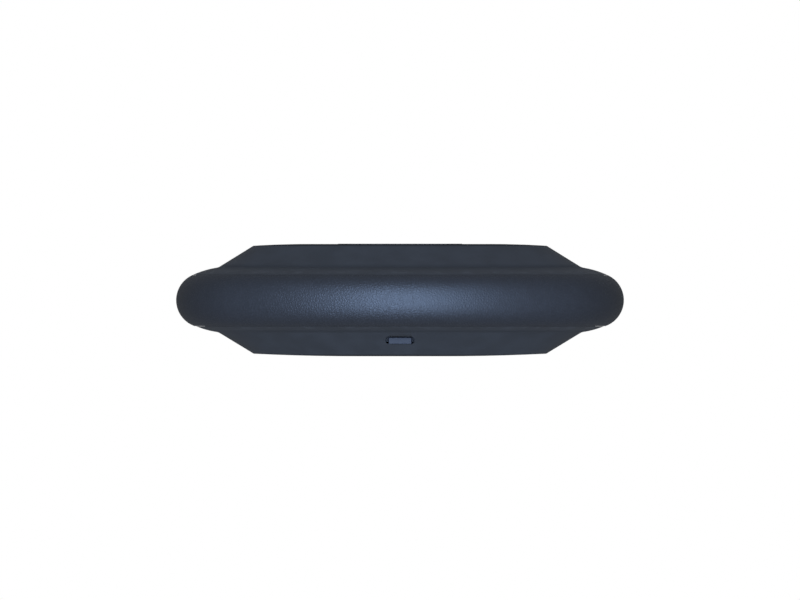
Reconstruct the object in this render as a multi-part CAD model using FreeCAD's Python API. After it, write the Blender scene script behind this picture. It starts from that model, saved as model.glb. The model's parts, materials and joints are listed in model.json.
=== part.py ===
import FreeCAD, Part
import math
import os

# A pocket charging case for a pair of wireless earbuds, in millimetres, +Z up, front towards -Y.
# The origin is the centre of the footprint, on the surface that the case stands on.
#
# Seen from above the case is an oval of four tangent arcs. Every outer skin is one section swept
# round that oval, so a place on a skin is given by its inset from the widest outline and its height.

# ---- Driving dimensions ----
HALF_WIDTH = 47.8
HALF_DEPTH = 32.0
END_RADIUS = 25.0
WAIST_Z = 11.97            # height of the widest line
BELT_RADIUS = 5.87         # tight arc round the widest line
BELT_SWEEP = 65.0          # degrees of that arc, above and below the waist
SHOULDER_RADIUS = 20.3     # slack arc that carries on from it
BELT_LOW_Z = 6.43          # lower edge of the belt, just above the bottom cover
BASE_GAP = 0.05            # fine gap between the belt and the bottom cover
SEAM_Z = 17.34             # middle of the gap under the lid
SEAM_GAP = 0.08
LID_CREASE = (9.07, 18.99)
LID_EDGE_SLOPE = 0.6194
BASE_CREASE = (8.99, 5.13)
BASE_EDGE_SLOPE = 0.6075
FLANGE_START = 4.25        # inset of the bottom cover's upper edge
FLANGE_MIDDLE = (6.58, 5.60)   # point that its hollow upper face passes through
WALL = 1.4
TOP_Z = 23.95
TOP_FLAT_RADIUS = 20.0
TOP_CROWN_RADIUS = 172.0
BOTTOM_FLAT_RADIUS = 10.0
BOTTOM_CROWN_RADIUS = 391.0
LID_ROOF_Z = 22.5          # underside of the lid's roof
FLOOR_Z = 1.9              # upper side of the bottom cover's floor
RING_DEPTH = 18.5          # how far in a swept skin runs before a flat plate takes over
PLATE_INSET = 17.9

DECK_TOP_Z = 16.6
DECK_LOW_Z = 15.4
DECK_INSET = 5.6
LEDGE_INSET = 6.9
LEDGE_THICKNESS = 1.0

HINGE_Y = 28.9
HINGE_Z = 16.9
KNUCKLE_RADIUS = 1.5
KNUCKLE_GROOVE = 1.8
PIN_RADIUS = 0.75
PIN_CLEARANCE = 0.05
HINGE_HALF = 10.5
LID_KNUCKLE = (2.6, 6.4)   # from and to, either side of the middle
BASE_KNUCKLE = (6.6, 10.5)
LID_STRAP_Z = 17.5         # underside of the lid's leaf
BASE_LEAF_THICKNESS = 0.9
LID_SCREW_X = 4.4
LID_SCREW_Y = 18.6
BASE_SCREW_X = 8.4
BASE_SCREW_Y = 24.4
SCREW_HEAD_HEIGHT = 0.5

POCKET_X = 26.0
POCKET_RADIUS = 12.0
POCKET_FLOOR_Z = 7.0
POCKET_CORNER = 2.5
STEM_END = (17.5, -10.5)
STEM_RADIUS = 4.5
STEM_FLOOR_Z = 9.5
CUP_WALL = 1.0

BOARD_LOW_Z = 3.0
BOARD_TOP_Z = 3.8
BOARD_INSET = 16.4
POST_PLACES = ((-11.6, -6.5), (11.6, -6.5), (-11.6, 11.5), (11.6, 11.5))
POST_RADIUS = 1.2
SCREW_RADIUS = 0.6
SCREW_HEAD_RADIUS = 1.1

CONTACT_OFFSETS = (-1.8, 1.8)
CONTACT_TOP_Z = 8.0
CONTACT_SLEEVE_RADIUS = 1.0
CHAMBER_LOW_Z = 4.0
CONTACT_FLANGE_Z = 5.6     # underside of the pin's flange, which the spring bears on
CONTACT_SPRING_RADIUS = 0.5
CONTACT_WIRE_RADIUS = 0.12
CONTACT_SPRING_TURNS = 4

WINDOW_WIDTH = 6.3
WINDOW_HEIGHT = 1.77
WINDOW_Z = 3.47
GUIDE_WIDTH = 4.91
GUIDE_HEIGHT = 1.39

USB_WIDTH = 8.94
USB_HEIGHT = 3.26
USB_WALL = 0.3
USB_MOUTH_Y = 32.0
USB_BACK_Y = 24.0

BUTTON_Y = -22.3
BUTTON_RADIUS = 2.1
BUTTON_LOW_Z = 14.7
BUTTON_TRAVEL = 0.5

NAMEPLATE_SIZE = (26.6, 7.0)
NAMEPLATE_LOW_Z = 23.4
NAMEPLATE_TOP_Z = 24.02
FOOT_RADIUS = 9.5
FOOT_HEIGHT = 0.9
GASKET_INSETS = (4.05, 4.95)
GASKET_LOW_Z = 16.9
GASKET_TOP_Z = 17.3
LINER_LOW_Z = 17.6
LINER_ROOF_Z = 21.2        # underside of the liner's roof
LINER_TOP_Z = 22.2
MAGNET_WIDTH = (-6.0, 6.0)
MAGNET_DEPTH = (-19.4, -17.0)
LID_MAGNET_Z = (17.8, 18.8)

UP = FreeCAD.Vector(0, 0, 1)
ALONG_X = FreeCAD.Vector(1, 0, 0)
ALONG_Y = FreeCAD.Vector(0, 1, 0)

# ---- Derived from the driving dimensions ----
END_CENTRE = HALF_WIDTH - END_RADIUS
LONG_RADIUS = (END_CENTRE**2 + HALF_DEPTH**2 - END_RADIUS**2) / (2 * (HALF_DEPTH - END_RADIUS))
LONG_CENTRE = LONG_RADIUS - HALF_DEPTH
LONG_SPAN = 2 * math.degrees(math.atan2(END_CENTRE, LONG_CENTRE))
END_SPAN = 180 - LONG_SPAN
LID_LOW_Z = SEAM_Z + SEAM_GAP / 2
BELT_TOP_Z = SEAM_Z - SEAM_GAP / 2


# ---- Shape helpers ----
def vector(x, y, z):
    return FreeCAD.Vector(x, y, z)


def box(x_range, y_range, z_range):
    size = [high - low for low, high in (x_range, y_range, z_range)]
    return Part.makeBox(*size, vector(x_range[0], y_range[0], z_range[0]))


def rod(place, radius, z_range):
    return Part.makeCylinder(radius, z_range[1] - z_range[0], vector(*place, z_range[0]), UP)


def cross_rod(x_range, radius, y=HINGE_Y, z=HINGE_Z):
    return Part.makeCylinder(radius, x_range[1] - x_range[0], vector(x_range[0], y, z), ALONG_X)


def join(shapes):
    return shapes[0].multiFuse(shapes[1:]).removeSplitter()


def group(shapes):
    return Part.makeCompound(shapes)


def mirrored(x_range):
    return (x_range, (-x_range[1], -x_range[0]))


def outline_face(place, start, steps):
    """Face inside a closed outline. A step of two numbers is a straight run to that point, and a
    step of four is an arc through the first two to the last two; place puts a point in space."""
    edges = []
    here = start
    for step in steps + (start,):
        end = tuple(step[-2:])
        if len(step) == 4:
            edges.append(Part.Arc(place(*here), place(*step[:2]), place(*end)).toShape())
        else:
            edges.append(Part.LineSegment(place(*here), place(*end)).toShape())
        here = end
    return Part.Face(Part.Wire(edges))


def oval_ring(start, steps):
    """One closed (inset, height) section swept round the oval."""
    sectors = []
    for side in (-1, 1):
        end_axis = vector(side * END_CENTRE, 0, 0)
        long_axis = vector(0, -side * LONG_CENTRE, 0)
        cuts = (
            (end_axis, END_SPAN, lambda d, z: vector(side * (HALF_WIDTH - d), 0, z)),
            (long_axis, LONG_SPAN, lambda d, z: vector(0, side * (HALF_DEPTH - d), z)),
        )
        for axis, span, place in cuts:
            face = outline_face(place, start, steps)
            face.rotate(axis, UP, -span / 2)
            sectors.append(face.revolve(axis, UP, span))
    return join(sectors)


def oval_plate(inset, z_range):
    """Flat plate whose edge is the oval, drawn in by the inset."""
    half_long = LONG_SPAN / 2
    arcs = (
        (vector(END_CENTRE, 0, 0), END_RADIUS, -90 + half_long, 90 - half_long),
        (vector(0, -LONG_CENTRE, 0), LONG_RADIUS, 90 - half_long, 90 + half_long),
        (vector(-END_CENTRE, 0, 0), END_RADIUS, 90 + half_long, 270 - half_long),
        (vector(0, LONG_CENTRE, 0), LONG_RADIUS, 270 - half_long, 270 + half_long),
    )
    edges = []
    for centre, radius, first, last in arcs:
        circle = Part.Circle(centre, UP, radius - inset)
        edges.append(Part.ArcOfCircle(circle, math.radians(first), math.radians(last)).toShape())
    face = Part.Face(Part.Wire(edges))
    face.translate(vector(0, 0, z_range[0]))
    return face.extrude(vector(0, 0, z_range[1] - z_range[0]))


def slot_block(first, last, radius, z_range):
    """Upright block with the plan of a slot: two round ends joined by straight sides."""
    run = vector(last[0] - first[0], last[1] - first[1], 0)
    side = UP.cross(run).normalize() * radius
    a = vector(*first, z_range[0])
    b = vector(*last, z_range[0])
    corners = [a + side, b + side, b - side, a - side, a + side]
    web = Part.Face(Part.makePolygon(corners)).extrude(vector(0, 0, z_range[1] - z_range[0]))
    return join([web, rod(first, radius, z_range), rod(last, radius, z_range)])


def round_end_bar(width, height, y_range, z):
    """Bar along Y with a slot-shaped section, width across and height high."""
    radius = height / 2
    reach = width / 2 - radius
    length = y_range[1] - y_range[0]
    ends = [Part.makeCylinder(radius, length, vector(x, y_range[0], z), ALONG_Y) for x in (-reach, reach)]
    return join([box((-reach, reach), y_range, (z - radius, z + radius))] + ends)


def bowl(place, radius, corner, z_range):
    """Round block with a rounded lower corner."""
    low, high = z_range
    bend = corner * (1 - math.sqrt(0.5))
    steps = (
        (radius - corner, low),
        (radius - bend, low + bend, radius, low + corner),
        (radius, high),
        (0, high),
    )
    face = outline_face(lambda r, z: vector(place[0] + r, place[1], z), (0, low), steps)
    return face.revolve(vector(*place, 0), UP, 360)


def bent_path(points, bend):
    """Path of straight runs joined by tangent arcs of one radius."""
    points = [vector(*point) for point in points]
    edges = []
    here = points[0]
    for before, corner, after in zip(points, points[1:], points[2:]):
        back = (before - corner).normalize()
        ahead = (after - corner).normalize()
        half_angle = back.getAngle(ahead) / 2
        setback = bend / math.tan(half_angle)
        entry = corner + back * setback
        leave = corner + ahead * setback
        centre = corner + (back + ahead).normalize() * (bend / math.sin(half_angle))
        middle = centre + (corner - centre).normalize() * bend
        edges.append(Part.LineSegment(here, entry).toShape())
        edges.append(Part.Arc(entry, middle, leave).toShape())
        here = leave
    edges.append(Part.LineSegment(here, points[-1]).toShape())
    return Part.Wire(edges)


def swept(path, profile):
    return path.makePipeShell([profile], True, False)


def lead(points, bend, radius):
    """Round wire along a bent path that starts along Y."""
    circle = Part.Circle(vector(*points[0]), ALONG_Y, radius)
    return swept(bent_path(points, bend), Part.Wire(circle.toShape()))


def ribbon(points, bend, width, thickness):
    """Flat ribbon along a bent path that starts along Y and stays in one plane of constant X."""
    x, y, z = points[0]
    corners = [(-1, -1), (1, -1), (1, 1), (-1, 1), (-1, -1)]
    loop = [vector(x + a * width / 2, y, z + b * thickness / 2) for a, b in corners]
    return swept(bent_path(points, bend), Part.makePolygon(loop))


def coil(radius, wire_radius, height, turns):
    """Helical spring about +Z, starting at angle zero and height zero."""
    pitch = height / turns
    helix = Part.Wire(Part.makeHelix(pitch, height, radius))
    start = vector(radius, 0, 0)
    heading = vector(0, 2 * math.pi * radius, pitch)
    profile = Part.Wire(Part.Circle(start, heading, wire_radius).toShape())
    return helix.makePipeShell([profile], True, True)


# ---- Outer skin ----
def belt_point(angle):
    """Point of the tight arc, at an angle in degrees above the waist."""
    turn = math.radians(angle)
    return (BELT_RADIUS * (1 - math.cos(turn)), WAIST_Z + BELT_RADIUS * math.sin(turn))


def shoulder_point(height):
    """Point of the slack arc at a height; it mirrors about the waist."""
    inset, z = belt_point(BELT_SWEEP)
    turn = math.radians(BELT_SWEEP)
    centre_inset = inset + SHOULDER_RADIUS * math.cos(turn)
    centre_rise = z - WAIST_Z - SHOULDER_RADIUS * math.sin(turn)
    rise = abs(height - WAIST_Z) - centre_rise
    return (centre_inset - math.sqrt(SHOULDER_RADIUS**2 - rise**2), height)


def trim_lens():
    """Everything between the gently crowned top and bottom faces."""
    reach = 50.0

    def crown(radius, flat, height, sign):
        middle = (flat + reach) / 2
        points = []
        for r in (middle, reach):
            points += [r, height + sign * (radius - math.sqrt(radius**2 - (r - flat) ** 2))]
        return points

    low_mid_r, low_mid_z, low_r, low_z = crown(BOTTOM_CROWN_RADIUS, BOTTOM_FLAT_RADIUS, 0.0, 1)
    high_mid_r, high_mid_z, high_r, high_z = crown(TOP_CROWN_RADIUS, TOP_FLAT_RADIUS, TOP_Z, -1)
    steps = (
        (BOTTOM_FLAT_RADIUS, 0.0),
        (low_mid_r, low_mid_z, low_r, low_z),
        (high_r, high_z),
        (high_mid_r, high_mid_z, TOP_FLAT_RADIUS, TOP_Z),
        (0.0, TOP_Z),
    )
    face = outline_face(lambda r, z: vector(r, 0, z), (0.0, 0.0), steps)
    return face.revolve(vector(0, 0, 0), UP, 360)


def chamfer_inset(crease, slope, height):
    """Inset at which the straight edge that starts at a crease reaches a height."""
    return crease[0] + abs(height - crease[1]) / slope


def lid_inner_inset(height, depth=WALL):
    """Inset of the surface that runs at a depth under the lid's sloping edge."""
    drop = depth * math.hypot(1, LID_EDGE_SLOPE)
    return LID_CREASE[0] + (height + drop - LID_CREASE[1]) / LID_EDGE_SLOPE


def base_inner_inset(height, depth=WALL):
    """Inset of the surface that runs at a depth inside the bottom cover's sloping edge."""
    rise = depth * math.hypot(1, BASE_EDGE_SLOPE)
    return BASE_CREASE[0] + (BASE_CREASE[1] + rise - height) / BASE_EDGE_SLOPE


def hinge_notch(reach):
    return cross_rod((-HINGE_HALF - 0.2, HINGE_HALF + 0.2), reach)


def lid_cover():
    lip = shoulder_point(LID_LOW_Z)
    steps = (
        (*shoulder_point((LID_LOW_Z + LID_CREASE[1]) / 2), *LID_CREASE),
        (chamfer_inset(LID_CREASE, LID_EDGE_SLOPE, TOP_Z + 0.05), TOP_Z + 0.05),
        (RING_DEPTH, TOP_Z + 0.05),
        (RING_DEPTH, LID_ROOF_Z),
        (lid_inner_inset(LID_ROOF_Z), LID_ROOF_Z),
        (lid_inner_inset(LID_LOW_Z), LID_LOW_Z),
    )
    skin = join([oval_ring(lip, steps), oval_plate(PLATE_INSET, (LID_ROOF_Z, TOP_Z + 0.05))])
    bosses = [rod((x, LID_SCREW_Y), 1.5, (18.4, 20.6)) for x in (-LID_SCREW_X, LID_SCREW_X)]
    shell = join([skin.common(trim_lens())] + bosses)
    strap_room = box((-6.6, 6.6), (20.9, 31.0), (17.0, 18.5))
    strap_notch = box((-6.6, 6.6), (22.95, 31.0), (17.0, 20.0))
    screw_holes = [rod((x, LID_SCREW_Y), SCREW_RADIUS, (18.0, 20.0)) for x in (-LID_SCREW_X, LID_SCREW_X)]
    seat = nameplate_block((NAMEPLATE_LOW_Z, 25.0))
    return shell.cut(join([strap_room, strap_notch]).fuse(hinge_notch(KNUCKLE_GROOVE))).cut(
        group(screw_holes + [seat])
    )


def mid_frame():
    low = shoulder_point(BELT_LOW_Z)
    inner_radius = BELT_RADIUS - WALL
    ledge_low_z = DECK_LOW_Z - LEDGE_THICKNESS
    sill_z = 8.3

    def inner_point(height):
        return (BELT_RADIUS - math.sqrt(inner_radius**2 - (height - WAIST_Z) ** 2), height)

    steps = (
        (*shoulder_point((BELT_LOW_Z + belt_point(-BELT_SWEEP)[1]) / 2), *belt_point(-BELT_SWEEP)),
        (0.0, WAIST_Z, *belt_point(math.degrees(math.asin((BELT_TOP_Z - WAIST_Z) / BELT_RADIUS)))),
        (DECK_INSET - 0.1, BELT_TOP_Z),
        (DECK_INSET - 0.1, DECK_LOW_Z),
        (LEDGE_INSET, DECK_LOW_Z),
        (LEDGE_INSET, ledge_low_z),
        inner_point(ledge_low_z),
        (BELT_RADIUS - inner_radius, WAIST_Z, *inner_point(sill_z)),
        (6.0, sill_z),
        (6.0, BELT_LOW_Z),
    )
    ring = oval_ring(low, steps)
    blocks = [box(x, (22.8, 26.2), (12.6, DECK_LOW_Z)) for x in mirrored((6.2, 10.6))]
    holes = [rod((x, BASE_SCREW_Y), SCREW_RADIUS, (13.0, 16.0)) for x in (-BASE_SCREW_X, BASE_SCREW_X)]
    land_gap = box((-HINGE_HALF - 0.2, HINGE_HALF + 0.2), (24.5, 31.2), (DECK_LOW_Z, 18.0))
    port = round_end_bar(USB_WIDTH + 0.4, USB_HEIGHT + 0.4, (29.0, 33.0), WAIST_Z)
    groove = gasket_ring((GASKET_LOW_Z, 18.0))
    cuts = join([land_gap, hinge_notch(KNUCKLE_GROOVE)])
    return join([ring] + blocks).cut(cuts).cut(group(holes + [port])).cut(groove)


def bottom_cover():
    edge_z = BELT_LOW_Z - BASE_GAP
    lip_top_z = 8.2
    steps = (
        (*FLANGE_MIDDLE, *BASE_CREASE),
        (chamfer_inset(BASE_CREASE, BASE_EDGE_SLOPE, -0.05), -0.05),
        (RING_DEPTH, -0.05),
        (RING_DEPTH, FLOOR_Z),
        (base_inner_inset(FLOOR_Z), FLOOR_Z),
        (base_inner_inset(6.33), 6.33),
        (7.1, 7.2),
        (7.1, lip_top_z),
        (6.1, lip_top_z),
        (6.1, BELT_LOW_Z),
        (5.0, BELT_LOW_Z),
        (5.0, edge_z),
    )
    skin = join([oval_ring((FLANGE_START, edge_z), steps), oval_plate(PLATE_INSET, (-0.05, FLOOR_Z))])
    posts = [rod((x, 21.0), 1.2, (5.2, 9.5)) for x in (-6.2, 6.2)]
    shell = join([skin.common(trim_lens())] + posts)
    window = round_end_bar(WINDOW_WIDTH, WINDOW_HEIGHT, (-24.0, -15.0), WINDOW_Z)
    return shell.cut(window).cut(rod((0, 0), FOOT_RADIUS, (-1.0, FOOT_HEIGHT)))


def gasket_ring(z_range):
    low, high = z_range
    outer, inner = GASKET_INSETS
    return oval_ring((outer, low), ((inner, low), (inner, high), (outer, high)))


def rim_gasket():
    gap = box((-HINGE_HALF - 0.5, HINGE_HALF + 0.5), (20.0, 33.0), (16.0, 18.0))
    return gasket_ring((GASKET_LOW_Z, GASKET_TOP_Z)).cut(gap)


def foot_pad():
    return rod((0, 0), FOOT_RADIUS, (0.0, FOOT_HEIGHT))


def nameplate_block(z_range):
    half = NAMEPLATE_SIZE[0] / 2 - NAMEPLATE_SIZE[1] / 2
    return slot_block((-half, 0), (half, 0), NAMEPLATE_SIZE[1] / 2, z_range)


def nameplate():
    return nameplate_block((NAMEPLATE_LOW_Z, NAMEPLATE_TOP_Z))


# ---- Inside of the lid ----
def lid_liner():
    low, roof, top = LINER_LOW_Z, LINER_ROOF_Z, LINER_TOP_Z
    gap = WALL + 0.18
    depth = gap + 0.95
    steps = (
        (lid_inner_inset(top, gap), top),
        (RING_DEPTH, top),
        (RING_DEPTH, roof),
        (lid_inner_inset(roof, depth), roof),
        (lid_inner_inset(low, depth), low),
    )
    dish = join([oval_ring((lid_inner_inset(low, gap), low), steps), oval_plate(PLATE_INSET, (roof, top))])
    magnet_box = box((-6.8, 6.8), (-20.0, -16.4), (low, 19.4))
    envelope = oval_ring(
        (lid_inner_inset(low, gap), low),
        ((lid_inner_inset(top, gap), top), (24.0, top), (24.0, low)),
    )
    dish = join([dish, magnet_box.common(envelope)])
    strap_room = box((-6.8, 6.8), (16.2, 31.0), (16.0, 21.3))
    return dish.cut(strap_room).cut(lid_magnet())


def lid_magnet():
    return box(MAGNET_WIDTH, MAGNET_DEPTH, LID_MAGNET_Z)


def lid_pads():
    height = (LINER_ROOF_Z - 0.6, LINER_ROOF_Z)
    return group([slot_block((x - 2.5, 0), (x + 2.5, 0), 3.2, height) for x in (-24.0, 24.0)])


def lid_hinge_leaf():
    strap_width = (-LID_KNUCKLE[1], LID_KNUCKLE[1])
    strap = box(strap_width, (16.6, HINGE_Y), (LID_STRAP_Z, HINGE_Z + KNUCKLE_RADIUS))
    knuckles = [cross_rod(x, KNUCKLE_RADIUS) for x in mirrored(LID_KNUCKLE)]
    fork = box((-LID_KNUCKLE[0], LID_KNUCKLE[0]), (25.0, 31.0), (14.0, 20.0))
    bore = cross_rod((-8.0, 8.0), PIN_RADIUS + PIN_CLEARANCE)
    holes = [rod((x, LID_SCREW_Y), SCREW_RADIUS, (17.0, 19.0)) for x in (-LID_SCREW_X, LID_SCREW_X)]
    return join([strap.cut(fork)] + knuckles).cut(group([bore] + holes))


def screw(place, head_range, shank_range):
    return join([rod(place, SCREW_HEAD_RADIUS, head_range), rod(place, SCREW_RADIUS, shank_range)])


def lid_leaf_screws():
    seat_z = LID_STRAP_Z
    places = [(x, LID_SCREW_Y) for x in (-LID_SCREW_X, LID_SCREW_X)]
    return group([screw(place, (seat_z - SCREW_HEAD_HEIGHT, seat_z), (seat_z, 19.9)) for place in places])


# ---- Hinge, base side ----
def base_hinge_leaf():
    top = DECK_LOW_Z + BASE_LEAF_THICKNESS
    plate = box((-HINGE_HALF, HINGE_HALF), (22.8, 27.1), (DECK_LOW_Z, top))
    slot = box((-2.5, 2.5), (26.2, 28.0), (DECK_LOW_Z - 1, top + 1))
    webs = [box(x, (26.5, HINGE_Y), (DECK_LOW_Z, top)) for x in mirrored(BASE_KNUCKLE)]
    knuckles = [cross_rod(x, KNUCKLE_RADIUS) for x in mirrored(BASE_KNUCKLE)]
    bore = cross_rod((-12.0, 12.0), PIN_RADIUS)
    holes = [rod((x, BASE_SCREW_Y), SCREW_RADIUS, (15.0, 17.0)) for x in (-BASE_SCREW_X, BASE_SCREW_X)]
    return join([plate.cut(slot)] + webs + knuckles).cut(group([bore] + holes))


def base_leaf_screws():
    seat_z = DECK_LOW_Z + BASE_LEAF_THICKNESS
    places = [(x, BASE_SCREW_Y) for x in (-BASE_SCREW_X, BASE_SCREW_X)]
    return group([screw(place, (seat_z, seat_z + SCREW_HEAD_HEIGHT), (13.2, seat_z)) for place in places])


def hinge_pin():
    return cross_rod((-HINGE_HALF, HINGE_HALF), PIN_RADIUS)


def hinge_spring():
    """Torsion spring round the pin: its two legs bear on the base leaf and under the lid strap."""
    radius, wire, half = 1.15, 0.2, 2.0
    base_lean, lid_lean = 20.0, 12.0
    turns = 7 - (180 - base_lean - lid_lean) / 360
    body = coil(radius, wire, 2 * half, turns)
    body.rotate(vector(0, 0, 0), UP, 270 - base_lean)
    body.rotate(vector(0, 0, 0), vector(1, 1, 1), 120)
    body.translate(vector(-half, HINGE_Y, HINGE_Z))
    legs = []
    for x, lean, side, length in ((-half, base_lean, -1, 3.4), (half, lid_lean, 1, 4.2)):
        turn = math.radians(lean)
        start = vector(x, HINGE_Y - radius * math.sin(turn), HINGE_Z + side * radius * math.cos(turn))
        heading = vector(0, -math.cos(turn), -side * math.sin(turn))
        legs.append(Part.makeCylinder(wire, length, start, heading))
    return group([body] + legs)


# ---- Cradle that holds the earbuds ----
def cradle_deck():
    plate = oval_plate(DECK_INSET, (DECK_LOW_Z, DECK_TOP_Z))
    solids = [plate]
    hollows = [rod((0, BUTTON_Y), BUTTON_RADIUS + 0.08, (14.0, 18.0))]
    for side in (-1, 1):
        centre = (side * POCKET_X, 0.0)
        stem = (side * STEM_END[0], STEM_END[1])
        cup_low = POCKET_FLOOR_Z - CUP_WALL
        stem_low = STEM_FLOOR_Z - CUP_WALL
        solids.append(bowl(centre, POCKET_RADIUS + CUP_WALL, POCKET_CORNER + CUP_WALL, (cup_low, DECK_TOP_Z)))
        solids.append(slot_block(centre, stem, STEM_RADIUS + CUP_WALL, (stem_low, DECK_TOP_Z)))
        hollows.append(bowl(centre, POCKET_RADIUS, POCKET_CORNER, (POCKET_FLOOR_Z, 18.0)))
        hollows.append(slot_block(centre, stem, STEM_RADIUS, (STEM_FLOOR_Z, 18.0)))
        for offset in CONTACT_OFFSETS:
            hollows.append(rod((centre[0] + offset, 0), CONTACT_SLEEVE_RADIUS, (5.0, CONTACT_TOP_Z)))
    for place in POST_PLACES:
        solids.append(rod(place, POST_RADIUS, (BOARD_TOP_Z, DECK_LOW_Z + 0.2)))
    for x in (-7.6, 7.6):
        solids.append(rod((x, -21.5), 1.0, (12.4, DECK_LOW_Z + 0.2)))
    deck = join(solids)
    for hollow in hollows:
        deck = deck.cut(hollow)
    bores = group([rod(place, SCREW_RADIUS, (3.0, 7.0)) for place in POST_PLACES])
    hinge_room = box((-HINGE_HALF - 0.3, HINGE_HALF + 0.3), (22.6, 31.0), (15.0, 18.0))
    return deck.cut(bores).cut(hinge_room)


def pairing_button():
    cap = rod((0, BUTTON_Y), BUTTON_RADIUS, (BUTTON_LOW_Z, DECK_TOP_Z + 0.4))
    flange = rod((0, BUTTON_Y), BUTTON_RADIUS + 0.4, (BUTTON_LOW_Z, DECK_LOW_Z - 0.05))
    return join([cap, flange])


def bud_magnets():
    return group([rod((x, y), 2.0, (4.4, 6.0)) for x in (-30.0, 30.0) for y in (-5.0, 5.0)])


def base_magnet():
    return box(MAGNET_WIDTH, MAGNET_DEPTH, (13.6, DECK_LOW_Z))


# ---- Sprung charging contacts ----
def contact_places(side):
    return [(side * POCKET_X + offset, 0) for offset in CONTACT_OFFSETS]


def contact_housings():
    housings = []
    for place in contact_places(-1) + contact_places(1):
        sleeve = rod(place, CONTACT_SLEEVE_RADIUS, (BOARD_TOP_Z, POCKET_FLOOR_Z))
        chamber = rod(place, 0.72, (CHAMBER_LOW_Z, 6.6))
        mouth = rod(place, 0.5, (6.0, 8.0))
        housings.append(sleeve.cut(join([chamber, mouth])))
    return group(housings)


def contact_pins(side):
    pins = []
    for place in contact_places(side):
        shank = bowl(place, 0.44, 0.2, (CONTACT_FLANGE_Z, CONTACT_TOP_Z))
        shank.rotate(vector(*place, (CONTACT_FLANGE_Z + CONTACT_TOP_Z) / 2), ALONG_X, 180)
        pins.append(join([shank, rod(place, 0.66, (CONTACT_FLANGE_Z, 6.5))]))
    return group(pins)


def contact_springs(side):
    low = CHAMBER_LOW_Z + CONTACT_WIRE_RADIUS + 0.01
    height = CONTACT_FLANGE_Z - 0.02 - CONTACT_WIRE_RADIUS - low
    springs = []
    for place in contact_places(side):
        spring = coil(CONTACT_SPRING_RADIUS, CONTACT_WIRE_RADIUS, height, CONTACT_SPRING_TURNS)
        spring.translate(vector(*place, low))
        springs.append(spring)
    return group(springs)


# ---- Electronics ----
def main_board():
    board = oval_plate(BOARD_INSET, (BOARD_LOW_Z, BOARD_TOP_Z))
    holes = group([rod(place, SCREW_RADIUS, (2.0, 5.0)) for place in POST_PLACES])
    return board.cut(holes)


def board_screws():
    return group([screw(place, (2.4, BOARD_LOW_Z), (BOARD_LOW_Z, 6.8)) for place in POST_PLACES])


def controller_chip():
    return box((-2.5, 2.5), (-3.5, 1.5), (BOARD_TOP_Z, 4.7))


def charger_chip():
    return box((2.8, 5.8), (5.2, 8.2), (BOARD_TOP_Z, 4.6))


def power_inductor():
    return box((-6.4, -3.4), (5.0, 8.0), (BOARD_TOP_Z, 5.3))


def passive_parts():
    places = [(x, y) for x in (-6.5, 6.5) for y in (-4.0, -2.4, -0.8, 0.8)]
    places += [(x, 10.6) for x in (-5.0, -2.5, 2.5, 5.0)]
    return group([box((x - 0.5, x + 0.5), (y - 0.3, y + 0.3), (BOARD_TOP_Z, 4.3)) for x, y in places])


def battery_socket():
    return box((-9.2, -3.8), (-13.8, -11.4), (BOARD_TOP_Z, 5.4))


def led_chip():
    return box((-0.8, 0.8), (-15.5, -14.6), (BOARD_TOP_Z, 4.5))


def light_guide():
    """Clear bar that brings the indicator's light out to the window; its face stands upright, flush
    with the window's lower edge."""
    low = WINDOW_Z - WINDOW_HEIGHT / 2 + 0.03
    half = GUIDE_WIDTH / 2
    bar = box((-half, half), (-18.9, -16.2), (low, low + GUIDE_HEIGHT))
    flange = box((-3.6, 3.6), (-16.4, -15.75), (2.95, 4.6))
    return join([bar, flange])


def battery_cell():
    block = box((-10.0, 10.0), (-16.0, 16.0), (7.6, 14.6))
    long_edges = [edge for edge in block.Edges if abs(edge.tangentAt(0).y) > 0.9]
    return block.makeFillet(1.5, long_edges)


def battery_pad():
    return box((-8.0, 8.0), (-14.0, 14.0), (14.6, DECK_LOW_Z))


def battery_leads():
    leads = []
    for x in (-7.5, -5.5):
        points = [(x, -16.0, 9.0), (x, -18.3, 9.0), (x, -18.3, 4.6), (x, -13.8, 4.6)]
        leads.append(lead(points, 1.3, 0.4))
    return group(leads)


def usb_board():
    return box((-8.0, 8.0), (18.6, 29.0), (9.5, 10.3))


def usb_shell():
    outer = round_end_bar(USB_WIDTH, USB_HEIGHT, (USB_BACK_Y, USB_MOUTH_Y), WAIST_Z)
    inner_width = USB_WIDTH - 2 * USB_WALL
    inner_height = USB_HEIGHT - 2 * USB_WALL
    return outer.cut(round_end_bar(inner_width, inner_height, (USB_BACK_Y - 1, USB_MOUTH_Y + 1), WAIST_Z))


def usb_tongue():
    """Moulded block that fills the back of the shell, with the tongue that stands in its mouth."""
    plug = round_end_bar(
        USB_WIDTH - 2 * USB_WALL, USB_HEIGHT - 2 * USB_WALL, (USB_BACK_Y, USB_BACK_Y + 2.2), WAIST_Z
    )
    tongue = box((-3.3, 3.3), (USB_BACK_Y + 2, USB_MOUTH_Y - 0.8), (WAIST_Z - 0.35, WAIST_Z + 0.35))
    return join([plug, tongue])


def usb_contacts():
    strips = []
    for step in range(-5, 6):
        x_range = (step * 0.5 - 0.12, step * 0.5 + 0.12)
        y_range = (USB_BACK_Y + 2.6, USB_MOUTH_Y - 1.2)
        strips.append(box(x_range, y_range, (WAIST_Z + 0.35, WAIST_Z + 0.42)))
        strips.append(box(x_range, y_range, (WAIST_Z - 0.42, WAIST_Z - 0.35)))
    return group(strips)


def usb_flex():
    points = [(0, 21.0, 9.4), (0, 17.6, 9.4), (0, 17.6, 3.9), (0, 13.4, 3.9)]
    return ribbon(points, 0.9, 6.0, 0.2)


def front_board():
    return box((-9.0, 9.0), (-25.2, -17.6), (11.6, 12.4))


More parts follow.
